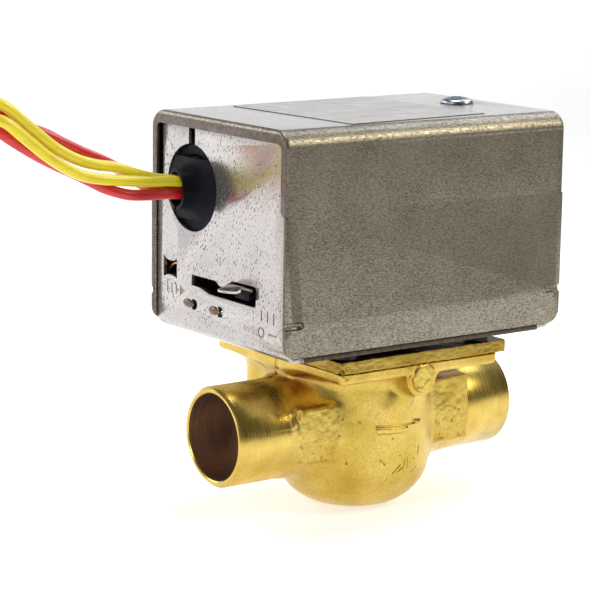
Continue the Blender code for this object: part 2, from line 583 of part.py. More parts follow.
def make_switch():
    body = finish("end_switch_body", box(SWITCH_LOW, SWITCH_HIGH, 0.6), "brown_plastic")
    for x in (-33.0, -27.0, -21.0):
        cut(body, box((x - 0.75, -21.3, 62.2), (x + 0.75, -17.7, 70)))
    bracket = finish("switch_bracket", prism([(-26.9, 47.6), (-14.0, 47.6), (-14.0, 48.6), (-25.9, 48.6),
                                              (-25.9, 66.0), (-26.9, 66.0)], -36.0, -18.0, "X"), "galvanised")
    for k, x in enumerate((-33.0, -27.0, -21.0)):
        finish(f"switch_terminal_{k + 1}", box((x - 0.4, -21.0, 62.5), (x + 0.4, -18.0, 70.5)), "turned_brass")
    for k, (x, z) in enumerate(((-33.6, 56.8), (-20.4, 56.8))):
        cut(body, rod(1.5, -30, -10, (x, z), "Y", steps=12))
        cut(bracket, rod(1.5, -30, -10, (x, z), "Y", steps=12))
        outline = [(0, -27.6), (1.2, -27.6), (1.2, -12.7), (2.1, -12.7), (2.1, -11.4), (0, -11.4)]
        finish(f"switch_screw_{k + 1}", turned(outline, (x, 0, z), "Y", steps=14), "steel")
    cut(body, rod(1.7, -21.0, -10, (PLUNGER_X, PLUNGER_Z), "Y", steps=16))
    finish("end_switch_plunger", rod(1.4, -18.4, -7.9, (PLUNGER_X, PLUNGER_Z), "Y", steps=16, chamfer=0.4),
           "brown_plastic")


# ---------------------------------------------------------------- leads

def make_leads():
    outline = [(4.3, -48.6), (4.9, -48.9), (5.5, -48.3), (5.8, -43.4), (10.6, -42.5), (10.6, -41.5), (8.0, -41.5),
               (8.0, -36.0), (4.3, -36.0)]
    finish("lead_bushing", turned(outline, (0, BUSHING_Y, BUSHING_Z), "X", steps=24), "black_plastic")
    finish("bushing_nut", ring(8.4, 12.4, -41.2, -38.4, (BUSHING_Y, BUSHING_Z), "X"), "black_plastic")
    for name, start in LEAD_STARTS.items():
        shift = LEAD_SHIFTS[name]
        tail = [tuple(a + b for a, b in zip(point, shift)) for point in LEAD_TAIL]
        slot = "yellow_pvc" if "yellow" in name else "red_pvc"
        wire(name, smooth_route(start + tail, 28), LEAD_RADIUS, slot)
    finish("lead_coil", ring(COIL_INNER, COIL_OUTER, 0.0, COIL_HEIGHT, COIL_CENTRE, steps=28), "red_pvc")
    inner = {
        "inner_lead_yellow_1": [(-45.4, 11.2, 86.1), (-40, 11.2, 86.1), (-35, 10.8, 86.0), (-26, 2.6, 83.5),
                                (-18, -2, 80.6), (-9.4, -2.0, 79.5)],
        "inner_lead_yellow_2": [(-45.4, 14.2, 86.1), (-40, 14.2, 86.1), (-35, 14.1, 86.3), (-26, 8.8, 86.5),
                                (-18, 3, 83.2), (-13.0, 0.6, 81.0), (-9.4, 1.0, 79.7)],
        "inner_lead_red_1": [(-45.4, 11.2, 83.0), (-40, 11.2, 83.0), (-35.3, 10.4, 82.7), (-32.6, 4.5, 81.2),
                             (-32.2, -3, 79.0), (-32.8, -12, 77), (-33.0, -18, 74.5), (-33.0, -19.5, 72.3)],
        "inner_lead_red_2": [(-45.4, 14.2, 83.0), (-40, 14.2, 83.0), (-35, 14.1, 82.7), (-27, 6.6, 77.5),
                             (-22, -6, 76.0), (-21, -16, 75.2), (-21, -19.5, 72.3)],
    }
    for name, points in inner.items():
        slot = "yellow_pvc" if "yellow" in name else "red_pvc"
        wire(name, smooth_route(points, 12), LEAD_RADIUS, slot)


def main():
    for thing in list(bpy.data.objects):
        bpy.data.objects.remove(thing, do_unlink=True)
    make_body()
    make_bonnet()
    make_stem()
    pinion_centre = make_gears()
    make_return_spring()
    make_lever()
    make_chassis()
    make_cover()
    make_motor(pinion_centre)
    make_switch()
    make_leads()


main()
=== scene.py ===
"""The looks of a motorised zone valve: a forged brass body under a galvanised sheet-metal head with four leads.

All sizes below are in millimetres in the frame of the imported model, and MM turns them into metres.
The pipe runs along X, the stem stands up along Z, and the wired end of the head is at -X.
"""

import itertools
import json
import math

import bmesh
import bpy
import numpy as np
from mathutils import Matrix, Quaternion, Vector


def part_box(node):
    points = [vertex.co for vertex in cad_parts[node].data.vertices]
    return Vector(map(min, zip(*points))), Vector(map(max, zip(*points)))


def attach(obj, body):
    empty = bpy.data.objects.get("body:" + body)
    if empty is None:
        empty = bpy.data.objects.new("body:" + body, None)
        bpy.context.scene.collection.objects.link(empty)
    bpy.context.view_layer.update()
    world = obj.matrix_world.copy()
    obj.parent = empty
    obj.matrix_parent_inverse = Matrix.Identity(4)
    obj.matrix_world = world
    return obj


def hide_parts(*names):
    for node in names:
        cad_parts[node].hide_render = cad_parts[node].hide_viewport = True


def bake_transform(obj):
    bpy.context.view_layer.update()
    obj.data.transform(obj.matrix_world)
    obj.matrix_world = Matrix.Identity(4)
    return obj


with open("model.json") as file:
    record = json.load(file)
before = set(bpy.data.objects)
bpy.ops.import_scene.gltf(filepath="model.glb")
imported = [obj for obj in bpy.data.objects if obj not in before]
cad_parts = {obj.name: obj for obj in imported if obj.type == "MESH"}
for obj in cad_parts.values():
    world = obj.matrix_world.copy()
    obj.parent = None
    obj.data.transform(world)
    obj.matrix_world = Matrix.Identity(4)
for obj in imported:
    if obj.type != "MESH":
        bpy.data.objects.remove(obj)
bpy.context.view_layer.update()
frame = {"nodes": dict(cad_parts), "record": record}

MM = 0.001


def span(node):
    """A CAD node's lowest and highest corner, in millimetres."""
    low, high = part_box(node)
    return low / MM, high / MM


# Driving places, read from the frame
PORT_X = span("valve_body")[1].x
COVER_LOW, COVER_HIGH = span("cover")
CHASSIS_LOW, CHASSIS_HIGH = span("chassis")
BONNET_LOW, BONNET_HIGH = span("bonnet_plate")
BUSH_LOW = span("lead_bushing")[0]
COIL_LOW, COIL_HIGH = span("lead_coil")
COIL_CENTRE = (COIL_LOW + COIL_HIGH) / 2

# Body
FORGING_STEP = 0.3
FORGING_SHARP_DEG = 42
PIPE_Z = 22.4
SOCKET_BORE = 11.2
SOCKET_RADIUS = 12.95
SOCKET_DEPTH = 19.0
NECK_RADIUS = 13.4
NECK_END = 28.8
CUP_RADIUS = 20.3
CUP_CORNER = 13.4
CHAMBER_RADIUS = 15.5
CHAMBER_FLOOR = 7.5
PADS = (((-26.4, -13.7, 15.6), (-13.5, 4.0, 29.8)), ((14.0, -13.7, 15.2), (28.2, 4.0, 32.6)))
FLANGE = (-23.8, -26.5, 26.7, 28.4)
FLANGE_LOW, FLANGE_TOP = 37.9, 40.7
BOSS = (2.3, 36.9)
GROOVES = (((-7.0, 24.1), (5.4, 23.7)), ((-7.0, 23.45), (2.6, 23.0)))
LOWER_LINE = ((-6.8, 22.3), (2.6, 22.0))
SCRATCHES = (((-2.2, 11.2), (0.2, 13.4)), ((1.2, 11.6), (1.6, 14.6)), ((2.4, 12.0), (2.6, 14.8)),
             ((-0.6, 11.4), (1.0, 12.6)), ((-4.6, 8.0), (-3.6, 10.2)), ((6.8, 14.8), (7.2, 17.2)),
             ((4.4, 10.4), (6.4, 11.8)), ((-6.0, 15.4), (-4.4, 13.8)), ((4.9, 14.0), (5.2, 14.4)))
PITS = ((-15.6, 27.0), (-15.8, 25.6), (-15.5, 22.0), (-14.6, 26.2), (-13.4, 14.5), (-10.8, 25.4), (-22.9, 18.2),
        (-20.6, 19.8), (-18.8, 18.6), (19.6, 26.0), (22.4, 20.6), (24.8, 23.4))
FLASHES = (
    ((-28.2, -12.4, 24.6), (-27.6, -12.0, 30.8), 0.6, 0.8), ((-26.0, -13.4, 27.6), (-24.4, -14.0, 31.4), 0.5, 0.7),
    ((-27.8, -12.2, 15.6), (-27.0, -11.8, 19.0), 0.35, 0.7), ((-27.2, -13.2, 31.0), (-18.5, -14.2, 31.8), 0.2, 0.6),
)
BONNET_SCREWS = ((-19.8, -22.2), (22.6, -22.2), (22.6, 24.2), (-19.8, 24.2))
HEAD_SCREWS = ((-20.5, 0.0), (24.0, 0.0))

# Drive
STEM = (0.0, 11.0)
STEM_HOLE = 2.6
ARM_LOW, ARM_TOP = 59.7, 60.6

# Head
SHEET = 0.9
ROOF_ROUND, EDGE_ROUND, CORNER_ROUND = 4.5, 1.3, 3.6
LIP_SIDE, LIP_TOP, LIP_END = 2.3, 3.3, 81.8
PLATE_OUT, PLATE_IN = -42.5, -41.5
THROUGH_PLATE = (-46, -40)
BEND = 3.2
BASE_TOP = 47.3
COVER_SCREW = (33.0, 0.0)
LEAD_HOLE = (12.7, 84.1)
LEAD_HOLE_RADIUS = 11.1
LANCES, LANCE_Z, LANCE_RADIUS = (11.3, -0.35), 54.4, 1.35
RIB_FRONT_Z, RIB_BACK_Z = 55.6, 56.7
LABEL_WIDE, LABEL_DEEP, LABEL_ASKEW = 44.0, 47.5, math.radians(3.0)
POSTS = ((-3.0, -23.5), (37.5, -23.5), (37.5, 20.0), (-3.0, 24.0))
MOTOR = (17.0, -3.0)

# Leads
LEAD_DIAMETER = 2.8
LEAD_LENGTH = 457.0
LEAD_STARTS = {
    "lead_yellow_1": [(-46, 11.2, 86.1), (-50.2, 11.2, 86.5), (-56.6, 10.7, 86.9), (-65.1, 10, 87.9),
                      (-71.5, 9.5, 88.8), (-77.3, 9, 90.3), (-83, 8.8, 93.2), (-88, 8.8, 96.6),
                      (-93, 8.9, 100.6), (-98, 9.3, 104.4)],
    "lead_yellow_2": [(-46, 14.2, 86.1), (-48.2, 14.2, 86.3), (-53.4, 13.8, 87.2), (-59.8, 12.9, 89),
                      (-65.6, 11.8, 91), (-71.5, 11.1, 92.1), (-77.3, 10.6, 93.9), (-83, 10.4, 96.9),
                      (-88, 10.4, 100.7), (-93, 10.5, 104.8), (-98, 10.9, 108.4)],
    "lead_red_1": [(-46, 11.2, 83), (-50.2, 11.2, 83.4), (-56.6, 10.7, 83.6), (-61.9, 10.4, 84),
                   (-65.6, 10.9, 84.9), (-68.8, 11.8, 86.1), (-72, 12.6, 87.8), (-77.3, 12.6, 90.4),
                   (-83, 12.2, 93), (-88, 11.9, 95.6), (-93, 12, 98.6), (-98, 12.4, 102)],
    "lead_red_2": [(-46, 14.2, 83), (-48.2, 14.4, 83.3), (-53.4, 15.6, 84.6), (-58.7, 16, 87.6),
                   (-64, 15.2, 90.8), (-69.4, 14.4, 93.3), (-74.7, 13.8, 95.5), (-80, 13.4, 98),
                   (-84, 13.5, 100.1), (-89, 13.7, 101.9), (-93, 13.8, 103.6), (-98, 14.2, 106.6)],
}
LEAD_TAIL = [(-104.5, 14, 107.4), (-110, 18.5, 107.6), (-114.5, 23.5, 103), (-117, 28, 94.5),
             (-118, 31.5, 82), (-118.5, 34, 68), (-119.5, 36, 53), (-121, 37.8, 38), (-122.5, 39, 25)]
LEAD_SHIFTS = {
    "lead_yellow_1": (0.6, -2.6, -2.2),
    "lead_yellow_2": (-2.6, -0.6, 2.2),
    "lead_red_1": (2.6, 0.6, -2.2),
    "lead_red_2": (-0.6, 2.6, 2.2),
}
COIL_INNER, COIL_GAP = 13.0, 3.0
COIL_ENTRY_DEG, COIL_ENTRY_STEP = 135.0, 5.0
COIL_PITCH = 2.9
COIL_FOOT = 2.0
TIE_DEG = 250.0

# Camera
CAMERA_PLACE = (-356.46, -461.34, 166.47)
CAMERA_AIM = (-8.73, 14.26, 52.93)
CAMERA_ROLL_DEG = 0.79
CAMERA_LENS = 139.14


# ---------------------------------------------------------------- materials

class Nodes:
    """A node tree being built."""

    def __init__(self, tree):
        self.tree = tree

    def add(self, kind, inputs=None, **settings):
        made = self.tree.nodes.new(kind)
        for key, value in settings.items():
            setattr(made, key, value)
        for key, value in (inputs or {}).items():
            self.join(made.inputs[key], value)
        return made

    def join(self, socket, value):
        if isinstance(value, bpy.types.NodeSocket):
            self.tree.links.new(value, socket)
        else:
            socket.default_value = value

    def remap(self, value, low, high, to_low=0.0, to_high=1.0, **settings):
        made = self.add("ShaderNodeMapRange", {"Value": value, "From Min": low, "From Max": high,
                                               "To Min": to_low, "To Max": to_high}, **settings)
        return made.outputs["Result"]

    def math(self, operation, a, b):
        return self.add("ShaderNodeMath", {0: a, 1: b}, operation=operation).outputs["Value"]

    def toward(self, place, way):
        return self.add("ShaderNodeVectorMath", {0: place, 1: way}, operation="DOT_PRODUCT").outputs["Value"]


class Finish(Nodes):
    """A node material being built. Its lengths are millimetres on the surface of the piece at rest."""

    def __init__(self, name, metallic=1.0, **sockets):
        self.material = bpy.data.materials.new(name)
        self.material.use_nodes = True
        super().__init__(self.material.node_tree)
        self.shader = self.tree.nodes["Principled BSDF"]
        self.place = self.add("ShaderNodeTexCoord").outputs["Object"]
        self.set("Base Color", (0.5, 0.5, 0.5, 1.0))
        self.set("Roughness", 0.4)
        self.set("Metallic", metallic)
        for key, value in sockets.items():
            self.set(key.replace("_", " "), value)

    def set(self, key, value):
        self.join(self.shader.inputs[key], value)

    def stretched(self, size, turn=(0, 0, 0)):
        """Object coordinates turned, then divided by a size in millimetres: one number, or one for each axis."""
        size = size if isinstance(size, tuple) else (size,) * 3
        turned_place = self.add("ShaderNodeVectorRotate", {"Vector": self.place, "Rotation": turn},
                                rotation_type="EULER_XYZ").outputs["Vector"]
        divided = self.add("ShaderNodeVectorMath", {0: turned_place, 1: [1 / (s * MM) for s in size]},
                           operation="MULTIPLY")
        return divided.outputs["Vector"]

    def noise(self, size, detail=2.0, roughness=0.5, turn=(0, 0, 0), distortion=0.0):
        made = self.add("ShaderNodeTexNoise", {"Vector": self.stretched(size, turn), "Scale": 1.0, "Detail": detail,
                                               "Roughness": roughness, "Distortion": distortion})
        return made.outputs["Fac"]

    def cells(self, size, turn, channel):
        """A Voronoi node's Distance from each cell's middle, and one channel of the cells' random colours."""
        made = self.add("ShaderNodeTexVoronoi", {"Vector": self.stretched(size, turn), "Scale": 1.0})
        parted = self.add("ShaderNodeSeparateColor", {"Color": made.outputs["Color"]})
        return made.outputs["Distance"], parted.outputs[channel]

    def mix(self, share, a, b):
        """A colour from a to b. Each is a colour of three numbers or a socket."""
        a, b = [v if isinstance(v, bpy.types.NodeSocket) else (*v, 1.0) for v in (a, b)]
        made = self.add("ShaderNodeMix", data_type="RGBA")
        for index, value in ((0, share), (6, a), (7, b)):
            self.join(made.inputs[index], value)
        return made.outputs[2]

    def specks(self, size, share, turn=(0, 0, 0), edge=(0.16, 0.3)):
        """1 inside small scattered grains, 0 elsewhere. About that share of the cells holds one."""
        distance, chosen = self.cells(size, turn, "Red")
        return self.math("MULTIPLY", self.remap(distance, *edge, 1.0, 0.0), self.math("LESS_THAN", chosen, share))

    def spread(self, noise, low, high):
        """The middle of a noise's range, where almost all of it lies, stretched from low to high."""
        return self.remap(noise, 0.3, 0.7, low, high)

    def attribute(self, name):
        return self.add("ShaderNodeAttribute", attribute_name=name).outputs["Fac"]

    def done(self, colour, roughness, *layers):
        """The material, with stacked bump layers, each a height and its depth in millimetres."""
        self.set("Base Color", colour)
        self.set("Roughness", roughness)
        normal = None
        for height, depth in layers:
            inputs = {"Height": height, "Strength": 1.0, "Distance": depth * MM}
            if normal:
                inputs["Normal"] = normal
            normal = self.add("ShaderNodeBump", inputs).outputs["Normal"]
        self.set("Normal", normal)
        return self.material


def forged_brass(name, bright, dull):
    made = Finish(name)
    fine = made.noise(0.55, 3.0, 0.6)
    gold = made.mix(made.remap(made.noise(9.0, 3.0), 0.35, 0.7), bright, dull)
    gold = made.mix(made.remap(fine, 0.45, 0.7, 0.0, 0.45), gold, (0.38, 0.24, 0.03))
    stained = made.mix(made.remap(made.attribute("crevice"), 0.35, 0.85), gold, (0.34, 0.15, 0.03))
    spots = made.specks(2.6, 0.10, edge=(0.05, 0.12))
    rough = made.math("ADD", made.spread(fine, 0.27, 0.38), made.math("MULTIPLY", made.attribute("grain"), 0.12))
    return made.done(made.mix(spots, stained, (0.16, 0.09, 0.04)), rough, (made.noise(0.28, 2.0, 0.6), 0.02),
                     (made.noise(2.4), 0.05), (spots, -0.08))


def turned_brass_skin():
    """Lathe-turned brass: fine rings round the pipe's axis."""
    made = Finish("turned_brass_skin")
    rings = made.noise((0.16, 60.0, 60.0), 2.0, 0.7)
    colour = made.mix(made.remap(made.noise(6.0), 0.35, 0.7), (0.70, 0.51, 0.13), (0.56, 0.38, 0.07))
    return made.done(colour, made.spread(rings, 0.22, 0.34), (rings, 0.0025))


def bore_skin():
    """The oxidised inside of a solder socket, with lathe lines and a few bright streaks."""
    made = Finish("bore_skin")
    rings = made.noise((0.22, 30.0, 30.0), 3.0, 0.7)
    streak = made.remap(made.noise((2.0, 2.0, 1.1), 3.0), 0.62, 0.74)
    dull = made.mix(made.remap(rings, 0.35, 0.65), (0.42, 0.33, 0.27), (0.66, 0.50, 0.40))
    return made.done(made.mix(streak, dull, (0.85, 0.52, 0.15)), made.spread(rings, 0.30, 0.42), (rings, 0.03))


def small_brass():
    made = Finish("small_brass")
    cloud = made.noise(1.6, 3.0)
    return made.done(made.mix(cloud, (0.86, 0.68, 0.30), (0.72, 0.50, 0.17)), made.spread(cloud, 0.20, 0.32),
                     (made.noise(0.2), 0.008))


def zinc_coat(name, bright, dark, speck_size, speck_share, lean, roughness, grain, depth, metallic=1.0):
    """Zinc-coated sheet: a soft spangle, a coarse and a fine grain, dark long specks and a few scratches."""
    made = Finish(name, metallic)
    turn = (lean, 0, 0)
    spangle = made.cells(3.2, (0, 0, 0), "Green")[1]
    tone = made.math("ADD", made.math("MULTIPLY", spangle, 0.06), made.spread(made.noise(14.0, 3.0), -0.03, 0.2))
    fine = made.noise(grain, 3.0, 0.7)
    tone = made.math("ADD", tone, made.remap(fine, 0.38, 0.66, -0.1, depth))
    thinning = made.remap(made.noise(11.0), 0.38, 0.6, 0.25, 1.0)
    specks = made.math("MULTIPLY", made.specks(speck_size, speck_share, turn), thinning)
    tiny = made.specks(tuple(s * 0.5 for s in speck_size), speck_share * 0.8, turn)
    pits = made.math("MAXIMUM", specks, made.math("MULTIPLY", tiny, 0.6))
    scratch = made.remap(made.noise((40.0, 34.0, 0.30), 1.0, turn=(0.35, 0.2, 0)), 0.735, 0.76)
    sheet = made.mix(pits, made.mix(tone, bright, dark), tuple(0.22 * v for v in dark))
    colour = made.mix(made.math("MULTIPLY", scratch, 0.25), sheet, tuple(0.4 * v for v in dark))
    return made.done(colour, made.spread(fine, *roughness), (made.noise(22.0, 1.0), 0.12), (fine, 0.02),
                     (pits, -0.05))


def clouded(name, light, dark, low, high, sizes, depth, **sockets):
    """Two tones in soft clouds. sizes are those of the clouds, of the changes in roughness and of the bumps."""
    made = Finish(name, **sockets)
    colour = made.mix(made.spread(made.noise(sizes[0], 3.0), 0.0, 1.0), light, dark)
    return made.done(colour, made.spread(made.noise(sizes[1]), low, high), (made.noise(sizes[2]), depth))


def plain_metal(name, light, dark, low, high, size=1.2):
    return clouded(name, light, dark, low, high, (size, size * 0.4, size * 0.2), 0.008)


def moulded(name, light, dark, low, high, **sockets):
    """Moulded plastic or rubber with a fine texture."""
    return clouded(name, light, dark, low, high, (2.5, 0.8, 0.35), 0.02, metallic=0.0, **sockets)


def lead_sleeve(name, light, dark):
    """Soft PVC: a slight orange peel, and grime in faint long streaks."""
    made = Finish(name, 0.0, Coat_Weight=0.35, Coat_Roughness=0.12, Specular_IOR_Level=0.5)
    grime = made.noise((9.0, 2.2, 2.2), 3.0)
    return made.done(made.mix(made.remap(grime, 0.5, 0.8, 0.0, 0.5), light, dark), made.spread(grime, 0.26, 0.38),
                     (made.noise((1.6, 0.8, 0.8)), 0.03))


def foil_label():
    made = Finish("foil_label", 0.85)
    wrinkle = made.noise((9.0, 2.2, 4.0), turn=(0, 0, 0.5), distortion=1.2)
    smudge = made.remap(made.noise(3.4, 3.0, 0.7), 0.62, 0.75)
    paper = made.mix(made.spread(wrinkle, 0.0, 1.0), (0.58, 0.545, 0.51), (0.47, 0.435, 0.405))
    paper = made.mix(made.math("MULTIPLY", smudge, 0.35), paper, (0.36, 0.34, 0.34))
    # near-black where the rim attribute is 1: painted shadow along the label's edge
    return made.done(made.mix(made.attribute("rim"), paper, (0.08, 0.09, 0.10)), made.spread(wrinkle, 0.28, 0.40),
                     (wrinkle, 0.06))


def make_finishes():
    """Each finish by name. A CAD node that shows as it is has the finish that is named like its slot."""
    return {
        "brass": forged_brass("forged_brass", (0.71, 0.525, 0.14), (0.55, 0.38, 0.065)),
        # a darker copy of the body's brass, for the bonnet
        "darker_brass": forged_brass("bonnet_brass", (0.50, 0.36, 0.085), (0.34, 0.225, 0.04)),
        "turned": turned_brass_skin(),
        "bore": bore_skin(),
        "turned_brass": small_brass(),
        "galvanised": plain_metal("zinc_sheet", (0.62, 0.61, 0.60), (0.48, 0.47, 0.46), 0.26, 0.40, 3.0),
        "plate": zinc_coat("front_sheet", (0.55, 0.52, 0.505), (0.32, 0.29, 0.28), (0.62, 0.62, 1.7), 0.78,
                           math.radians(-24), (0.13, 0.22), 0.5, 0.5, metallic=0.85),
        # the cover's sides and roof are one galvanised sheet in two copies: the sides' dark olive is partly the
        # sheet's tone and partly painted shade, and the roof's pale tone is painted light on the top
        "cover": zinc_coat("cover_tone_and_shade", (0.35, 0.32, 0.26), (0.12, 0.10, 0.075), (0.5, 0.5, 0.6), 0.6,
                           0.3, (0.34, 0.50), (0.85, 0.85, 0.32), 0.8),
        "roof": zinc_coat("roof_sheet_painted_light", (0.70, 0.665, 0.63), (0.48, 0.45, 0.42), (0.5, 0.5, 0.8), 0.4,
                          0.3, (0.24, 0.36), 0.6, 0.5),
        "lip": plain_metal("lip_sheet", (0.20, 0.17, 0.15), (0.11, 0.09, 0.08), 0.34, 0.48, 1.0),
        # a darker brown for the lance bumps that stand out of the front plate
        "bump_brown": plain_metal("lance_bump_sheet", (0.24, 0.16, 0.12), (0.14, 0.09, 0.07), 0.30, 0.44, 0.6),
        # near-black painted shade: for the bonnet's top in the gap under the head, and the chassis base's sides under
        # the cover's edge
        "painted_shade_dark": plain_metal("painted_shade_sheet", (0.13, 0.10, 0.075), (0.07, 0.055, 0.04), 0.34, 0.48, 1.0),
        "dark_steel": plain_metal("phosphated_screw", (0.06, 0.06, 0.065), (0.03, 0.03, 0.033), 0.4, 0.55),
        "steel": plain_metal("zinc_steel", (0.58, 0.58, 0.60), (0.40, 0.41, 0.43), 0.22, 0.36),
        "lever": plain_metal("lever_steel", (0.34, 0.30, 0.26), (0.22, 0.18, 0.14), 0.24, 0.38, 0.8),
        "blue_steel": plain_metal("blued_screw", (0.42, 0.46, 0.52), (0.30, 0.34, 0.40), 0.24, 0.36),
        "spring_wire": plain_metal("copper_wire", (0.85, 0.48, 0.24), (0.62, 0.30, 0.12), 0.20, 0.32, 0.6),
        "copper": plain_metal("bare_copper", (0.90, 0.46, 0.28), (0.72, 0.32, 0.16), 0.2, 0.3, 0.5),
        "black_plastic": moulded("black_nylon", (0.006, 0.007, 0.011), (0.003, 0.0035, 0.006), 0.46, 0.62,
                                 Specular_IOR_Level=0.10),
        "brown_plastic": moulded("brown_phenolic", (0.24, 0.12, 0.06), (0.14, 0.065, 0.03), 0.3, 0.45),
        "rubber": moulded("black_rubber", (0.03, 0.03, 0.032), (0.016, 0.016, 0.018), 0.55, 0.75),
        "gasket": moulded("gasket_sheet", (0.16, 0.10, 0.03), (0.10, 0.06, 0.02), 0.7, 0.85),
        "fibre": moulded("fibre_sheet", (0.12, 0.105, 0.09), (0.07, 0.06, 0.05), 0.8, 0.95),
        "foil": foil_label(),
        "yellow_pvc": lead_sleeve("yellow_sleeve", (0.86, 0.72, 0.015), (0.62, 0.47, 0.01)),
        "red_pvc": lead_sleeve("red_sleeve", (0.66, 0.018, 0.022), (0.40, 0.01, 0.012)),
    }


FINISHES = make_finishes()


# ---------------------------------------------------------------- shapes

def polar(centre, radius, angle):
    """A point round a centre, in two coordinates."""
    return centre[0] + radius * math.cos(angle), centre[1] + radius * math.sin(angle)


def arc(centre, radius, start_deg, end_deg, steps):
    """Points on a circular arc, both ends included."""
    return [polar(centre, radius, math.radians(a)) for a in np.linspace(start_deg, end_deg, steps + 1)]


def placed(axis, height, a, b):
    """A point from its coordinate along an axis, and the other two in order."""
    return {"X": (height, a, b), "Y": (a, height, b), "Z": (a, b, height)}[axis]


def moved(shape, matrix):
    bmesh.ops.transform(shape, matrix=matrix, verts=shape.verts)
    return shape


def spun(shape, centre, angle):
    """A bmesh turned about the upright axis, then carried to a centre."""
    return moved(shape, Matrix.Translation(centre) @ Matrix.Rotation(angle, 4, "Z"))


def skin(shape, rings):
    """Quads between each ring of points and the next."""
    for low, high in zip(rings, rings[1:]):
        for k in range(len(low)):
            n = (k + 1) % len(low)
            shape.faces.new((low[k], low[n], high[n], high[k]))


def insert(name, data):
    """A new object in the scene."""
    thing = bpy.data.objects.new(name, data)
    bpy.context.scene.collection.objects.link(thing)
    return thing


def smoothed(mesh, sharp_deg):
    mesh.shade_smooth()
    mesh.set_sharp_from_angle(angle=math.radians(sharp_deg))
    return mesh


def turned(profile, centre=(0, 0, 0), axis="Z", steps=64):
    """A bmesh turned about an axis through centre, from a closed outline of (radius, height along the axis)."""
    shape = bmesh.new()
    rings = []
    for radius, height in profile:
        count = 1 if radius < 1e-6 else steps
        angles = [2 * math.pi * k / steps for k in range(count)]
        rings.append([shape.verts.new((radius * math.cos(a), radius * math.sin(a), height)) for a in angles])
    for low, high in zip(rings, rings[1:] + rings[:1]):
        for k in range(steps):
            n = k + 1
            corners = [low[k % len(low)], low[n % len(low)], high[n % len(high)], high[k % len(high)]]
            corners = list(dict.fromkeys(corners))  # one corner fewer at a point on the axis
            if len(corners) > 2:
                shape.faces.new(corners)
    turn = {"Z": Matrix(), "X": Matrix.Rotation(math.pi / 2, 4, "Y"), "Y": Matrix.Rotation(-math.pi / 2, 4, "X")}
    return moved(shape, Matrix.Translation(centre) @ turn[axis])


def tube(inner, outer, low, high, centre=(0, 0), axis="Z", steps=48):
    """A round tube from low to high along an axis. centre gives the other two coordinates, in order."""
    return turned([(inner, low), (outer, low), (outer, high), (inner, high)], placed(axis, 0, *centre), axis, steps)


def rod(radius, low, high, centre=(0, 0), axis="Z", steps=48):
    return tube(0, radius, low, high, centre, axis, steps)


def box(low, high, rounded=0.0, segments=2):
    shape = bmesh.new()
    bmesh.ops.create_cube(shape, size=1.0)
    bmesh.ops.scale(shape, vec=Vector(high) - Vector(low), verts=shape.verts)
    bmesh.ops.translate(shape, vec=(Vector(high) + Vector(low)) / 2, verts=shape.verts)
    if rounded:
        bmesh.ops.bevel(shape, geom=list(shape.edges), offset=rounded, segments=segments, profile=0.5, affect="EDGES")
    return shape


def prism(outline, low, high, axis="Z"):
    """An outline of two coordinates, extruded along the third axis from low to high."""
    shape = bmesh.new()
    bottom, top = ([shape.verts.new(placed(axis, height, a, b)) for a, b in outline] for height in (low, high))
    shape.faces.new(bottom)
    shape.faces.new(top)
    skin(shape, [bottom, top])
    return shape


def capsule(start, end, radius, steps=24):
    """A round-ended bar between two points."""
    start, end = Vector(start), Vector(end)
    length = (end - start).length
    outline = [(radius * math.sin(a), -radius * math.cos(a)) for a in np.linspace(0, math.pi / 2, 7)]
    outline += [(radius * math.cos(a), length + radius * math.sin(a)) for a in np.linspace(0, math.pi / 2, 7)]
    shape = turned(outline, steps=steps)
    aim = (end - start).to_track_quat("Z", "Y").to_matrix().to_4x4()
    return moved(shape, Matrix.Translation(start) @ aim)


def solid(name, shape, sharp_deg=35):
    """An object in metres from a bmesh in millimetres, with its faces pointing out."""
    bmesh.ops.remove_doubles(shape, verts=shape.verts, dist=1e-5)
    bmesh.ops.recalc_face_normals(shape, faces=shape.faces)
    bmesh.ops.scale(shape, vec=(MM, MM, MM), verts=shape.verts)
    mesh = bpy.data.meshes.new(name)
    shape.to_mesh(mesh)
    shape.free()
    return insert(name, smoothed(mesh, sharp_deg))


def evaluated_mesh(thing):
    bpy.context.view_layer.update()
    return bpy.data.meshes.new_from_object(thing.evaluated_get(bpy.context.evaluated_depsgraph_get()))


def apply_modifiers(thing):
    old, thing.data = thing.data, evaluated_mesh(thing)
    thing.modifiers.clear()
    bpy.data.meshes.remove(old)


def combine(thing, tool, operation="DIFFERENCE"):
    """One Boolean with an object that it uses up. It stops if the Boolean changes nothing."""
    before = len(thing.data.polygons)
    step = thing.modifiers.new("carve", "BOOLEAN")
    step.operation, step.solver, step.object = operation, "MANIFOLD", tool
    apply_modifiers(thing)
    bpy.data.objects.remove(tool)
    if len(thing.data.polygons) == before:
        raise RuntimeError(f"{thing.name}: a Boolean changed nothing")


def carve(thing, shapes, operation="DIFFERENCE"):
    """Cuts bmeshes out of a piece, or joins them to it, one after the other."""
    for shape in shapes:
        combine(thing, solid(thing.name + "_tool", shape), operation)


def join(thing, *shapes):
    carve(thing, shapes, "UNION")


def bevel(thing, width, segments, angle_deg):
    """A modifier that rounds the edges."""
    step = thing.modifiers.new("edges", "BEVEL")
    step.width, step.segments = width * MM, segments
    step.limit_method, step.angle_limit = "ANGLE", math.radians(angle_deg)


def break_edges(thing, width, segments=2, angle_deg=38):
    """The small radius that a sheared or moulded edge has."""
    bevel(thing, width, segments, angle_deg)
    apply_modifiers(thing)
    smoothed(thing.data, 50)


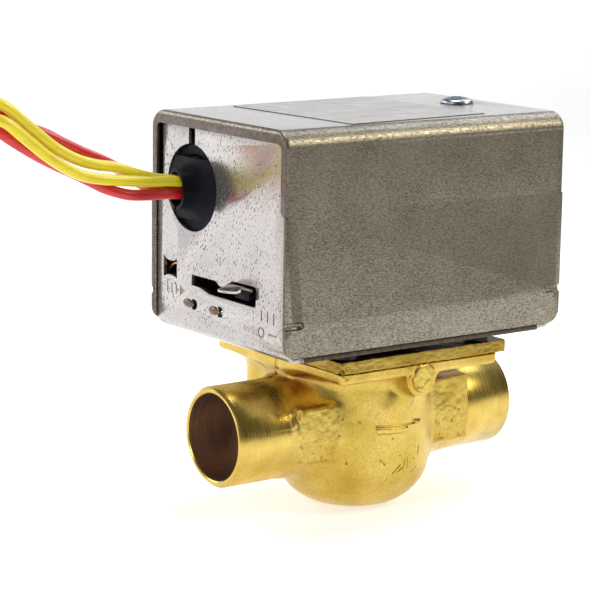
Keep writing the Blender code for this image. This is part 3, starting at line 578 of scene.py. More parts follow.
def coat(thing, finishes, pick=None):
    """Gives a piece its finishes. pick says which one a face has, from its middle in millimetres and its normal."""
    thing.data.materials.clear()
    for finish in finishes:
        thing.data.materials.append(FINISHES[finish])
    if pick:
        for face in thing.data.polygons:
            face.material_index = pick(*(face.center / MM), face.normal)


def dress(thing, finish, body, slot, *nodes, pick=None):
    """Gives a piece its finish or finishes and its body, and hides the CAD nodes that it stands for."""
    coat(thing, finish if isinstance(finish, tuple) else (finish,), pick)
    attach(thing, body)
    if nodes:
        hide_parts(*nodes)
    return thing


def smooth_route(points, spacing):
    """Even samples along a Catmull-Rom curve through the route's points."""
    p = np.array(points, float)
    p = np.vstack([2 * p[0] - p[1], p, 2 * p[-1] - p[-2]])
    fine = []
    for a, b, c, d in zip(p, p[1:], p[2:], p[3:]):
        for t in np.linspace(0, 1, 12, endpoint=False):
            fine.append(0.5 * (2 * b + (c - a) * t + (2 * a - 5 * b + 4 * c - d) * t**2
                               + (3 * b - a - 3 * c + d) * t**3))
    fine = np.array(fine + [p[-2]])
    along = np.concatenate([[0], np.cumsum(np.linalg.norm(np.diff(fine, axis=0), axis=1))])
    wanted = np.linspace(0, along[-1], max(2, round(along[-1] / spacing) + 1))
    return np.column_stack([np.interp(wanted, along, fine[:, k]) for k in range(3)])


def wire(name, points, radius, sides=5):
    """A round wire along points, with closed ends, as a curve object."""
    curve = bpy.data.curves.new(name, "CURVE")
    curve.dimensions = "3D"
    curve.bevel_depth = radius * MM
    curve.bevel_resolution = sides
    curve.use_fill_caps = True
    spline = curve.splines.new("POLY")
    spline.points.add(len(points) - 1)
    for target, point in zip(spline.points, points):
        target.co = (*[float(v) * MM for v in point], 1.0)
    spline.use_smooth = True
    return insert(name, curve)


def as_mesh(thing):
    """A mesh object in place of a curve object."""
    mesh, name = evaluated_mesh(thing), thing.name
    bpy.data.objects.remove(thing)
    return insert(name, mesh)


def add_wire(shape, points, radius, sides):
    """A round wire added to a bmesh, in millimetres."""
    made = as_mesh(wire("wire", points, radius, sides))
    made.data.transform(Matrix.Scale(1 / MM, 4))
    shape.from_mesh(made.data)
    bpy.data.objects.remove(made)


# ---------------------------------------------------------------- camera, light and floor

def aimed(name, data, place, aim, roll_deg=0.0):
    """A camera or lamp at a place, looking at another."""
    thing = insert(name, data)
    turn = (Vector(aim) - Vector(place)).to_track_quat("-Z", "Y")
    thing.rotation_mode = "QUATERNION"
    thing.rotation_quaternion = turn @ Quaternion((0, 0, 1), math.radians(roll_deg))
    thing.location = Vector(place) * MM
    return thing


def make_camera():
    data = bpy.data.cameras.new("camera")
    data.lens, data.sensor_width, data.clip_start = CAMERA_LENS, 36.0, 0.02
    bpy.context.scene.camera = aimed("camera", data, CAMERA_PLACE, CAMERA_AIM, CAMERA_ROLL_DEG)


def softbox(name, place, aim, size, watts, colour=(1.0, 1.0, 1.0)):
    data = bpy.data.lights.new(name, "AREA")
    data.shape, data.energy, data.color = "RECTANGLE", watts, colour
    data.size, data.size_y = [s * MM for s in size]
    aimed(name, data, place, aim).visible_camera = False


def make_studio():
    """A pale floor that glows behind the valve, soft boxes, and a surround that is dim on the camera's side."""
    floor = solid("floor", box((-6000, -6000, -20), (6000, 6000, -0.05)))
    pale = Finish("floor", 0.0, Roughness=0.9)
    pale.set("Base Color", pale.mix(pale.noise(900.0), (0.87, 0.87, 0.87), (0.84, 0.84, 0.845)))
    across = pale.toward(pale.place, (-0.35, 0.94, 0.0))
    pale.set("Emission Color", (1.0, 1.0, 1.0, 1.0))
    pale.set("Emission Strength", pale.math("ADD", pale.remap(across, -0.42, -0.06, 0.04, 0.55),
                                            pale.remap(across, 0.2, 1.2, 0.0, 0.75)))
    floor.data.materials.append(pale.material)
    world = bpy.data.worlds.new("surround")
    world.use_nodes = True
    bpy.context.scene.world = world
    bpy.context.scene.view_settings.view_transform = "Standard"
    sky = Nodes(world.node_tree)
    way = sky.add("ShaderNodeTexCoord").outputs["Generated"]
    bright = 1.0
    for aim, low, high in (((-0.30, 0.95, 0.0), -0.35, 0.45), ((0.0, 0.0, -1.0), -0.60, -0.30)):
        toward = sky.toward(way, Vector(aim).normalized())
        bright = sky.math("MULTIPLY", sky.remap(toward, low, high, interpolation_type="SMOOTHSTEP"), bright)
    background = world.node_tree.nodes["Background"].inputs
    sky.join(background["Strength"], sky.math("ADD", bright, 0.09))
    sky.join(background["Color"], (0.95, 0.97, 1.0, 1.0))
    softbox("overhead", (20, 40, 620), (0, 0, 30), (260, 260), 1.6)
    softbox("cool_side", (420, 60, 520), (0, 0, 50), (320, 320), 1.3, (0.86, 0.92, 1.0))
    softbox("warm_front", (390, -440, 440), (0, 0, 60), (260, 200), 2.0, (1.0, 0.93, 0.74))
    softbox("left_fill", (-620, -160, 300), (0, 0, 30), (300, 200), 0.7)
    softbox("back_left", (-420, 620, 460), (-60, 150, 0), (700, 300), 2.0)


# ---------------------------------------------------------------- brass forgings, from distance functions

LATTICE = np.random.default_rng(5).random((32, 32, 32))


def ripple(p, size):
    """Smooth noise from -1 to 1 at points p, with features about that size across."""
    q = p / size
    cell = np.floor(q).astype(int)
    part = q - cell
    part = part * part * (3 - 2 * part)
    total = np.zeros(p.shape[:-1])
    for corner in itertools.product((0, 1), repeat=3):
        share = np.prod(np.where(np.array(corner) == 1, part, 1 - part), axis=-1)
        i, j, k = np.moveaxis((cell + corner) % 32, -1, 0)
        total += share * LATTICE[i, j, k]
    return 2 * total - 1


def blend(a, b, fillet):
    """The union of two distances, with a fillet."""
    h = np.maximum(fillet - np.abs(a - b), 0) / fillet
    return np.minimum(a, b) - h * h * fillet / 4


def slab(p, low, high, corner, edge):
    """Distance to a plate with upright corners of one radius and rounded top and bottom edges."""
    low, high = np.array(low, float), np.array(high, float)
    q = np.abs(p - (low + high) / 2) - (high - low) / 2
    side = q[..., :2] + corner
    flat = np.linalg.norm(np.maximum(side, 0), axis=-1) + np.minimum(side.max(-1), 0) - corner
    both = np.stack([flat + edge, q[..., 2] + edge], -1)
    return np.linalg.norm(np.maximum(both, 0), axis=-1) + np.minimum(both.max(-1), 0) - edge


def bar(p, start, end, radius):
    """Distance to a round-ended bar."""
    start, end = np.array(start, float), np.array(end, float)
    way = end - start
    share = np.clip(((p - start) @ way) / (way @ way), 0, 1)
    return np.linalg.norm(p - start - share[..., None] * way, axis=-1) - radius


def body_distance(p):
    """The forging: cup, neck, rear web, flange, side pads and the gate boss."""
    x, y, z = p[..., 0], p[..., 1], p[..., 2]
    across = np.hypot(x, y)
    q = np.stack([across - (CUP_RADIUS - CUP_CORNER), CUP_CORNER - z], -1)
    cup = np.linalg.norm(np.maximum(q, 0), axis=-1) + np.minimum(q.max(-1), 0) - CUP_CORNER
    neck_radius = NECK_RADIUS - (NECK_RADIUS - SOCKET_RADIUS) * np.clip((np.abs(x) - 23) / (NECK_END - 23), 0, 1)
    neck = np.maximum(np.hypot(y, z - PIPE_Z) - neck_radius, np.abs(x) - NECK_END)
    shape = blend(cup, neck, 5.0)
    shape = blend(shape, slab(p, (-20.6, 1.0, 24.0), (20.6, 23.5, 45.0), 6.5, 3.0), 4.0)
    for low, high in PADS:
        shape = blend(shape, slab(p, low, high, 0.8, 0.8), 1.6)
    x0, y0, x1, y1 = FLANGE
    shape = blend(shape, slab(p, (x0, y0, FLANGE_LOW), (x1, y1, FLANGE_TOP + 3), 1.3, 1.2), 4.6)
    away = np.hypot(x - BOSS[0], z - BOSS[1])
    disc = np.maximum(away - 3.5 - 0.05 * (y + 26.9), np.abs(y + 22.4) - 4.5)
    cradle = np.maximum(away - 4.7 - 0.08 * (y + 25.6), np.abs(y + 20.8) - 4.8)
    shape = blend(shape, bar(p, (1.2, -21.0, 33.2), (-0.6, -18.6, 28.5), 2.4), 3.5)
    shape = blend(shape, cradle, 1.6)
    shape = blend(shape, disc, 0.5)
    return np.maximum(shape, z - FLANGE_TOP)


def pad_share(p):
    """How far a point is on one of the rough pads, from 0 to 1."""
    share = 0.0
    for low, high in PADS:
        inner = [np.clip(np.minimum(p[..., k] - low[k], high[k] - p[..., k]) + 0.9, 0, 1) for k in (0, 2)]
        share = np.maximum(share, inner[0] * inner[1])
    outer = np.clip((np.abs(p[..., 0]) - 15.2) / 1.4, 0, 1)
    return share * outer * np.clip((-p[..., 1] - 10.5) / 1.5, 0, 1)


def mound(p, centre, size):
    """A smooth bump, 1 at its middle and 0 well away from it."""
    return np.exp(-(np.linalg.norm((p - centre) / size, axis=-1) ** 2))


def body_relief(p):
    """How far the real surface stands proud of the smooth forging, in millimetres."""
    x, y, z = p[..., 0], p[..., 1], p[..., 2]
    near = y < -8
    proud = 0.05 * ripple(p, 5.0) + 0.018 * ripple(p, 1.1)
    pads = pad_share(p)
    proud += pads * (0.11 * ripple(p, 1.3) + 0.08 * ripple(p + 40, 0.7) + 0.20 * np.minimum(ripple(p, 2.4), 0))
    for low, high in PADS:
        teeth = np.exp(-(((z - low[2] - 1.1) / 0.9) ** 2))
        proud -= pads * teeth * 0.5 * np.clip(ripple(p * (1, 0, 0) + 7, 0.8) + 0.1, 0, 1)
    lip = bar(p * (1, 0, 1), (5.0, 0, 24.0), (7.4, 0, 23.6), 0.0)
    proud += near * 0.35 * np.exp(-((lip / 0.4) ** 2))
    left = (x < -13) & (z > PIPE_Z)
    parting = np.exp(-(((y - 0.6 + 0.25 * ripple(p * (1, 0, 1), 3.0)) / 0.45) ** 2))
    proud -= left * 0.9 * parting * np.clip((-x - 13) / 3, 0, 1) * np.clip((z - 30) / 3, 0, 1)
    for start, end, height, width in FLASHES:
        ridge = bar(p, start, end, 0.0)
        proud += (height + 0.6 * ripple(p + 9, 1.3)) * np.exp(-((ridge / width) ** 2))
    proud += (0.8 * ripple(p, 1.0) - 0.35) * mound(p, (-22.6, -25.8, 40.6), (1.7, 1.7, 1.3))
    disc = np.exp(-((np.maximum(np.hypot(x - BOSS[0], z - BOSS[1]) - 3.2, 0) / 0.3) ** 2)) * (y < -26.2)
    return proud + disc * 0.10 * ripple(p, 0.8)


def bonnet_distance(p):
    """The plate that closes the body."""
    return slab(p, (BONNET_LOW.x, BONNET_LOW.y, 40.8), tuple(BONNET_HIGH), 0.9, 0.3)


def bonnet_side(p):
    """1 on the plate's rough sides, 0 on its top."""
    return np.clip(3.0 - np.abs(p[..., 2] - 42.4), 0, 1)


def bonnet_relief(p):
    torn = 0.10 * ripple(p * (1, 1, 2.2), 1.2) + 0.07 * ripple(p + 30, 0.6)
    lump = (0.9 * ripple(p + 11, 1.1) - 0.4) * mound(p, (-23.0, -25.6, 41.6), (1.8, 1.8, 1.2))
    return bonnet_side(p) * torn + 0.03 * ripple(p, 1.0) + lump


def net(distance, low, high, step):
    """Points and quads over the zero level of a distance function: one point in each grid cell that it crosses."""
    axes = [np.arange(a, b + step, step) for a, b in zip(low, high)]
    rows = [distance(np.stack(np.meshgrid([x], axes[1], axes[2], indexing="ij"), -1)) for x in axes[0]]
    inside = np.concatenate(rows) < 0
    sizes = np.array(inside.shape) - 1
    corners = [inside[i:i + sizes[0], j:j + sizes[1], k:k + sizes[2]]
               for i, j, k in itertools.product((0, 1), repeat=3)]
    crossed = np.any(corners, axis=0) & ~np.all(corners, axis=0)
    number = np.full(crossed.shape, -1)
    number[crossed] = np.arange(crossed.sum())
    points = np.array(low) + (np.argwhere(crossed) + 0.5) * step
    faces = []
    for axis in range(3):
        u, v = (axis + 1) % 3, (axis + 2) % 3
        first = np.take(inside, range(sizes[axis]), axis)
        second = np.take(inside, range(1, sizes[axis] + 1), axis)
        edges = np.argwhere(first != second)
        solid_first = first[tuple(edges.T)]
        step_u, step_v = np.eye(3, dtype=int)[[u, v]]
        quads = np.stack([number[tuple((edges - a * step_u - b * step_v).T)]
                          for a, b in ((0, 0), (1, 0), (1, 1), (0, 1))], -1)
        quads[~solid_first] = quads[~solid_first][:, ::-1]
        faces.append(quads)
    return points, np.concatenate(faces)


def slope(distance, points, reach=0.06):
    """The direction in which the distance grows, at each point."""
    steps = np.eye(3) * reach
    return np.stack([distance(points + s) - distance(points - s) for s in steps], -1) / (2 * reach)


def settle(points, distance):
    """Moves points onto the zero level."""
    grows = slope(distance, points)
    size = np.maximum((grows**2).sum(-1), 0.2)
    return points - (distance(points) / size)[:, None] * grows


def relax(points, faces):
    """Each point half way to the middle of its neighbours."""
    a = faces.ravel()
    b = np.roll(faces, 1, axis=1).ravel()
    total, count = np.zeros_like(points), np.bincount(np.concatenate([a, b]), minlength=len(points))
    for k in range(3):
        total[:, k] = np.bincount(np.concatenate([a, b]), np.concatenate([points[b, k], points[a, k]]),
                                  minlength=len(points))
    return 0.5 * points + 0.5 * total / count[:, None]


def forging(name, distance, relief, low, high):
    """A closed mesh of a forged shape: the smooth shape first, then its surface marks."""
    points, faces = net(distance, low, high, FORGING_STEP)
    for _ in range(3):
        points = settle(relax(points, faces), distance)
    for _ in range(2):
        points = settle(points, lambda p: distance(p) - relief(p))
    mesh = bpy.data.meshes.new(name)
    mesh.from_pydata((points * MM).tolist(), [], faces.tolist())
    mesh.update()
    mesh.shade_smooth()
    return insert(name, mesh)


def paint(thing, distance, grain):
    """Two attributes for the finish: how deep in a hollow each point lies, and how rough it is."""
    mesh = thing.data
    points = np.empty(len(mesh.vertices) * 3)
    mesh.vertices.foreach_get("co", points)
    points = points.reshape(-1, 3) / MM
    grows = slope(distance, points, 0.3)
    grows /= np.maximum(np.linalg.norm(grows, axis=1), 1e-6)[:, None]
    hidden = sum(np.clip(1 - distance(points + grows * d) / d, 0, 1) for d in (1.5, 3.0, 5.0, 8.0)) / 4
    for key, values in (("crevice", hidden), ("grain", grain(points))):
        mesh.attributes.new(key, "FLOAT", "POINT").data.foreach_set("value", values.astype(np.float32))


def front_marks():
    """Tools for the grooves, scratches and pits in the cup's front face, all in one bmesh."""
    depths = np.linspace(-29, -4, 1001)

    def face_y(x, z):
        points = np.column_stack([np.full(depths.shape, x), depths, np.full(depths.shape, z)])
        return depths[np.argmax(body_distance(points) < 0)]

    shape = bmesh.new()
    for start, end, radius, sunk in ([(*ends, 0.33, 0.34) for ends in GROOVES] + [(*LOWER_LINE, 0.9, 0.05)]
                                     + [(*ends, 0.22, 0.20) for ends in SCRATCHES]):
        count = max(3, round(math.dist(start, end) / 0.5))
        path = [(x, face_y(x, z) - radius + sunk, z)
                for x, z in zip(np.linspace(start[0], end[0], count), np.linspace(start[1], end[1], count))]
        add_wire(shape, path, radius, 3)
    for x, z in PITS:
        bmesh.ops.create_icosphere(shape, subdivisions=2, radius=0.36,
                                   matrix=Matrix.Translation((x, face_y(x, z) - 0.05, z)))
    return shape


def make_body():
    body = forging("body_forging", body_distance, body_relief, (-30.4, -28.4, -1.0), (30.4, 30.0, 42.0))
    chamfer, mouth = 1.0, 0.25
    stop = PORT_X - SOCKET_DEPTH
    socket = [(0, 18), (SOCKET_RADIUS, 18), (SOCKET_RADIUS, PORT_X - chamfer),
              (SOCKET_RADIUS - chamfer * 0.9, PORT_X), (0, PORT_X)]
    bore = [(0, stop), (SOCKET_BORE, stop), (SOCKET_BORE, PORT_X - mouth),
            (SOCKET_BORE + mouth * 1.6, PORT_X + mouth * 0.6), (0, PORT_X + mouth * 0.6)]
    sockets, bores = ([turned([(r, side * h) for r, h in outline], (0, 0, PIPE_Z), "X", 128) for side in (-1, 1)]
                      for outline in (socket, bore))
    join(body, *sockets)
    chamber = solid("chamber_tool", rod(CHAMBER_RADIUS, CHAMBER_FLOOR, FLANGE_TOP + 1, steps=96))
    carve(chamber, [rod(8.6, -20.0, -13.6, (0, PIPE_Z), "X")])
    combine(body, chamber)
    carve(body, [rod(5.7, 32.0, FLANGE_TOP + 1, STEM), *bores, rod(6.0, -26.25, -10, (0, PIPE_Z), "X"),
                 rod(8.0, 10, 26.25, (0, PIPE_Z), "X"), tube(17.1, 19.9, 39.5, FLANGE_TOP + 1, steps=96)])
    carve(body, [rod(2.0, 30.0, FLANGE_TOP + 1, place, steps=24) for place in BONNET_SCREWS])
    carve(body, [front_marks()])
    smoothed(body.data, FORGING_SHARP_DEG)
    paint(body, body_distance, pad_share)

    def finish_at(x, y, z, normal):
        if stop - 0.1 < abs(x) < PORT_X - 0.3 and math.hypot(y, z - PIPE_Z) < SOCKET_BORE + 0.1:
            return 2
        in_chamber = math.hypot(x, y) < CHAMBER_RADIUS + 0.1 and z > CHAMBER_FLOOR - 0.1
        return int(in_chamber or abs(x) > NECK_END + 0.2)

    dress(body, ("brass", "turned", "bore"), "valve", "brass", "valve_body", pick=finish_at)


def make_bonnet():
    bonnet = forging("bonnet", bonnet_distance, bonnet_relief, (BONNET_LOW.x - 1.2, BONNET_LOW.y - 1.2, 39.8),
                     (BONNET_HIGH.x + 1.2, BONNET_HIGH.y + 1.2, 47.2))
    join(bonnet, rod(5.2, BONNET_LOW.z, 42.0, STEM))
    stem_hole = [(0, 30), (STEM_HOLE, 30), (STEM_HOLE, 34.8), (4.3, 34.8), (4.3, 60), (0, 60)]
    screw_hole = [(0, 30), (2.0, 30), (2.0, 43.9), (3.7, 43.9), (3.7, 60), (0, 60)]
    carve(bonnet, [turned(stem_hole, (*STEM, 0))]
          + [turned(screw_hole, (*place, 0), steps=32) for place in BONNET_SCREWS]
          + [rod(1.6, 42.0, 60, place, steps=24) for place in HEAD_SCREWS])
    smoothed(bonnet.data, FORGING_SHARP_DEG)
    paint(bonnet, bonnet_distance, bonnet_side)
    # the bonnet's top face gets the near-black finish: painted shade in the gap under the head
    dress(bonnet, ("darker_brass", "painted_shade_dark"), "valve", "brass", "bonnet_plate",
          pick=lambda x, y, z, normal: int(normal.z > 0.8 and z > BONNET_HIGH.z - 0.3))


# ---------------------------------------------------------------- sheet-metal head

def drawn_box(x_low, x_high, half, low, top, roof_round, edge_round, steps=8):
    """A box whose roof folds down to its sides at one radius, and whose two ends are drawn round at another."""
    stations = [(x_low + edge_round * (1 - math.sin(a)), edge_round * (1 - math.cos(a)))
                for a in np.linspace(math.pi / 2, 0, steps)]
    stations += [(x_high - (x - x_low), inset) for x, inset in reversed(stations)]
    shape = bmesh.new()
    rings = []
    for x, inset in stations:
        radius, side, roof = roof_round - inset, half - 0.4 * inset, top - inset
        outline = [(-side, low), (side, low)] + arc((side - radius, roof - radius), radius, 0, 90, steps)
        outline += arc((radius - side, roof - radius), radius, 90, 180, steps)
        rings.append([shape.verts.new((x, y, z)) for y, z in outline])
    skin(shape, rings)
    shape.faces.new(rings[0])
    shape.faces.new(rings[-1])
    return shape


def make_cover():
    front, back, half = COVER_LOW.x, COVER_HIGH.x, COVER_HIGH.y
    low, top = COVER_LOW.z, COVER_HIGH.z
    ends = ((front, -1), (back, 1))
    cover = solid("cover_shell", drawn_box(front, back, half, low, top, ROOF_ROUND, EDGE_ROUND))
    width, under, corner, notch = half - LIP_SIDE, top - LIP_TOP, 1.6, LIP_END + 1.6
    opening = [(-width, 0), (width, 0)] + arc((width - corner, under - corner), corner, 0, 90, 6)
    opening += arc((corner - width, under - corner), corner, 90, 180, 6)
    below_lips = [(-40, 0), (40, 0), (40, LIP_END), (half - 1.0, LIP_END), (width - 0.2, notch),
                  (0.2 - width, notch), (1.0 - half, LIP_END), (-40, LIP_END)]
    tools = [drawn_box(front + SHEET, back - SHEET, half - SHEET, low - 5, top - SHEET, ROOF_ROUND - SHEET,
                       EDGE_ROUND - SHEET)]
    for face, way in ends:
        through = sorted((face + way * 3, face - way * (SHEET + 0.02)))
        tools += [prism(outline, *through, "X") for outline in (opening, below_lips)]
    carve(cover, tools)
    for face, way in ends:
        near, far = sorted((face, face - way * 2.5))
        for side in (half - SHEET, -half):
            join(cover, box((near, side, low), (far, side + SHEET, LIP_END)))
    tools = [rod(2.1, 95, 110, COVER_SCREW)]
    for face, way in ends:
        for side in (-1, 1):
            a, b, c = side * (half - 0.36), side * half, side * (half + 1)
            pinch = [(face + way, a), (face - way * 2.9, b), (face - way * 2.9, c), (face + way, c)]
            tools.append(prism(pinch, LIP_END + 0.6, top - ROOF_ROUND))
        inner, height = face - way * CORNER_ROUND, low + CORNER_ROUND
        rounding = arc((inner, height), CORNER_ROUND, 270, 270 + way * 90, 8)
        rounding += [(face + way, height), (face + way, low - 1.0), (inner, low - 1.0)]
        tools.append(prism(rounding, -40, 40, "Y"))
    carve(cover, tools)
    for face, way, z in ((front, -1, RIB_FRONT_Z), (back, 1, RIB_BACK_Z)):
        for side in (-1, 1):
            inner, outer = side * (half - SHEET + 0.5), side * (half + 0.35)
            join(cover, capsule((face - way * 2.6, inner, z), (face - way * 4.6, inner, z), 1.15))
            carve(cover, [capsule((face + way * 1.5, outer, z), (face - way * 4.2, outer, z), 1.05)])
    break_edges(cover, 0.14)

    def finish_at(x, y, z, normal):
        # the roof's top faces get the lighter copy of the sheet: painted light on the top
        if normal.z > 0.97 and z > top - 0.2:
            return 2
        return int(abs(normal.x) > 0.75 and not front + SHEET <= x <= back - SHEET and z < top - 1.0)

    dress(cover, ("cover", "lip", "roof"), "cover_group", "galvanised", "cover", pick=finish_at)


def stamped_marks():
    """Shallow stampings that stand where the real plate has words: an arrow for one end, bars for the other."""
    low, high = PLATE_OUT - 1, PLATE_OUT + 0.18

    def stroke(y_low, y_high, z_low, z_high):
        return box((low, y_low, z_low), (high, y_high, z_high))

    return ([stroke(y - 0.24, y + 0.24, 55.9, 58.4) for y in (23.6, 21.6, 19.6)]
            + [prism([(17.8, 55.9), (15.4, 57.15), (17.8, 58.4)], low, high, "X")]
            + [stroke(y - 0.24, y + 0.24, 55.3, 57.9) for y in (-18.2, -20.8, -23.4)]
            + [tube(0.9, 1.4, low, high, (-18.2, 52.4), "X", 28), stroke(-25.0, -21.2, 52.15, 52.65)])


def make_chassis():
    top, rear, base = CHASSIS_HIGH.z, CHASSIS_HIGH.x, CHASSIS_LOW.z
    front_bend, rear_bend = (PLATE_OUT + BEND, base + BEND), (rear - BEND, base + BEND)
    outline = [(PLATE_OUT, top), *arc(front_bend, BEND, 180, 270, 12), *arc(rear_bend, BEND, 270, 360, 12),
               (rear, 98.0), (26.5, 98.0), (26.5, 97.0), (rear - 1.0, 97.0), *arc(rear_bend, BEND - 1.0, 360, 270, 12),
               *arc(front_bend, BEND - 1.0, 270, 180, 12), (PLATE_IN, top)]
    chassis = solid("chassis_sheet", prism(outline, -28.2, 28.2, "Y"))
    join(chassis, box((-37.6, -29.3, base), (37.6, 29.3, BASE_TOP - 0.001)))
    window = [(19.3, 59.7), (20.7, 60.3), (22.6, 60.5), (24.2, 60.2), (25.6, 59.5), (25.6, 65.3), (24.2, 64.4),
              (22.6, 64.1), (20.7, 64.3), (19.3, 65.0)]
    slot = ([(12.5, 62.0), (1.8, 62.05), (0.0, 61.0), (-1.6, 61.0), (-5.6, 63.1)]
            + arc((-14.8, 62.2), 1.0, 90, 180, 5) + arc((-14.8, 59.0), 1.0, 180, 270, 5)
            + [(4.6, 58.1), (8.7, 59.15), (12.5, 59.25)])
    lances = [[(y + 1.0, LANCE_Z + LANCE_RADIUS), *arc((y, LANCE_Z), LANCE_RADIUS, 90, 270, 14),
               (y + 1.0, LANCE_Z - LANCE_RADIUS)] for y in LANCES]
    y, z = LEAD_HOLE
    plate_low, plate_high = THROUGH_PLATE
    tools = [box((20, side_low, 96), (rear - 1.02, side_high, 99)) for side_low, side_high in ((-40, -8.5), (8.5, 40))]
    tools += [rod(1.7, 90, 105, COVER_SCREW), rod(LEAD_HOLE_RADIUS, plate_low, plate_high, LEAD_HOLE, "X", 96),
              box((plate_low, y - 1.4, z + 9.5), (plate_high, y + 1.4, 105)),
              box((plate_low, 25.9, 84.0), (PLATE_IN + 0.5, 30, 105))]
    tools += [prism(hole, plate_low, plate_high, "X") for hole in (window, slot, *lances)]
    for radius, places in ((4.9, [STEM]), (1.8, HEAD_SCREWS), (1.4, POSTS)):
        tools += [rod(radius, 40, 50, place) for place in places]
    carve(chassis, tools + stamped_marks())
    for y in LANCES:
        bump = bmesh.new()
        bmesh.ops.create_uvsphere(bump, u_segments=32, v_segments=20, radius=1.0)
        place = Matrix.Translation((PLATE_OUT + 0.25, y + 2.7, LANCE_Z)) @ Matrix.Diagonal((1.0, 2.3, 1.15, 1))
        join(chassis, moved(bump, place))
    break_edges(chassis, 0.1)

    def finish_at(x, y, z, normal):
        # faces in front of the plate, the lance bumps, get the darker brown
        if x < PLATE_OUT - 0.03:
            return 2
        # the base's sides get the near-black finish: painted shade under the cover's lower edge
        if abs(y) > 28.4 and z > base + 0.2:
            return 3
        return int(PLATE_OUT + 0.05 < x < PLATE_OUT + 0.25 and z > BASE_TOP + BEND and abs(normal.x) > 0.5)

    dress(chassis, ("plate", "lever", "bump_brown", "painted_shade_dark"), "valve", "galvanised", "chassis", pick=finish_at)


def tab_point(s, t, down):
    """A point of the lever's finger tab. s runs across the plate, t out to the rim, and down into the tab's steel."""
    if s < 0.47:
        out = 3.9 * (1 - 0.62 * (s / 0.47) ** 2.2)
    else:
        out = 0.75 + 0.73 * (1 - min((s - 0.47) / 0.08, 1))
    curl = (1.2 if s < 0.55 else 0.15) * t**1.8 * min(out / 1.6, 1.0)
    return (-42.9 - (out - 0.25 * down) * t, -6.4 - 8.7 * s + 0.9 * t * max(0.0, 1 - s / 0.55),
            62.66 - 0.12 * s - curl - down)


def make_lever():
    """The manual lever: a flat arm, a riser outside the plate, and a finger tab that curls down at its rim."""
    lever = solid("lever_stamping", tube(STEM_HOLE, 6.0, ARM_LOW, ARM_TOP, STEM, steps=64))
    join(lever, prism([(-3.4, 14.6), (-4.6, 8.0), (-20.0, -2.6), (-43.6, -14.6), (-43.6, -8.4), (-22.0, 3.8)],
                      ARM_LOW, ARM_TOP))
    join(lever, box((-43.7, -14.6, ARM_LOW), (-42.9, -9.6, 62.1)))
    tab = bmesh.new()
    across = np.linspace(0, 1, 25)
    rings = [[tab.verts.new(tab_point(s, t, down)) for down, run in ((0.0, across), (0.6, across[::-1])) for s in run]
             for t in np.linspace(0, 1, 21)]
    skin(tab, rings)
    for ring in (rings[0], rings[-1]):
        for k in range(len(across) - 1):
            tab.faces.new((ring[k], ring[k + 1], ring[-k - 2], ring[-k - 1]))
    join(lever, tab)
    break_edges(lever, 0.12)

    def finish_at(x, y, z, normal):
        # the arm's neck in the slot below the tab gets the near-black nylon finish: painted shade under the tab
        if -43.75 < x < -36 and z < 61.95:
            return 1
        # the tab's curled rim gets the bright zinc finish: painted highlight along its edge
        return 2 if x < -43.8 and abs(normal.z) < 0.5 and z < 61.6 else 0

    dress(lever, ("lever", "black_plastic", "steel"), "drive", "steel", "manual_lever", pick=finish_at)


def make_bushing():
    """The moulded strain-relief bushing, with flats on its flange and a barrel cut off at a slant."""
    end = BUSH_LOW.x + 0.3
    outline = [(4.3, end), (5.1, end), (5.3, end + 3.2), (5.8, end + 4.4), (6.9, end + 5.6), (8.6, end + 6.2),
               (10.6, end + 6.4), (10.6, -41.7), (8.0, -41.5), (8.0, -36.0), (4.3, -36.0)]
    bushing = solid("bushing_moulding", turned(outline, (0, *LEAD_HOLE), "X", 72))
    y, z = LEAD_HOLE
    carve(bushing, [box((end + 5.0, y - 12, z + 7.6), (-41.5, y + 12, z + 12)),
                    box((end + 5.0, y - 12, z - 12), (-41.5, y + 12, z - 8.2)),
                    prism([(end - 5, y - 7), (end + 0.1, y - 7), (end + 2.4, y + 7), (end - 5, y + 7)], 70, 98),
                    box((end - 1, y - 0.5, z - 7), (end + 3.2, y + 0.5, z - 4))])
    break_edges(bushing, 0.25, 3)
    dress(bushing, "black_plastic", "valve", "black_plastic", "lead_bushing")


def make_label():
    """The blank label: a thin sheet with soft wrinkles, laid slightly askew."""
    shape = bmesh.new()
    bmesh.ops.create_grid(shape, x_segments=88, y_segments=94, size=0.5)
    centre = Vector((-0.5, -0.55, 0))
    bottom = COVER_HIGH.z + 0.02
    rim = []
    for v in shape.verts:
        x, y = v.co.x * LABEL_WIDE, v.co.y * LABEL_DEEP
        edge = min(LABEL_WIDE / 2 - abs(x), LABEL_DEEP / 2 - abs(y))
        swell = 0.05 * ripple(np.array([x * 0.7, y * 1.8, 0.0]), 5.0) + 0.03 * ripple(np.array([x, y, 9.0]), 2.4)
        # rim is 1 in the edge band and on the skirt, where the foil finish paints a shadow
        rim.append(float(edge < 0.4))
        v.co = Vector((x, y, bottom + 0.16 + float(swell) * min(edge / 3.0, 1.0))) + centre
    skirt = bmesh.ops.extrude_edge_only(shape, edges=[e for e in shape.edges if e.is_boundary])["geom"]
    for v in (g for g in skirt if isinstance(g, bmesh.types.BMVert)):
        v.co.z = bottom
    moved(shape, Matrix.Rotation(LABEL_ASKEW, 4, "Z"))
    bmesh.ops.holes_fill(shape, edges=[e for e in shape.edges if e.is_boundary], sides=0)
    label = solid("blank_label_sheet", shape, 60)
    rim += [1.0] * (len(label.data.vertices) - len(rim))
    label.data.attributes.new("rim", "FLOAT", "POINT").data.foreach_set("value", np.array(rim, np.float32))
    dress(label, "foil", "cover_group", "foil", "blank_label")


# ---------------------------------------------------------------- fasteners

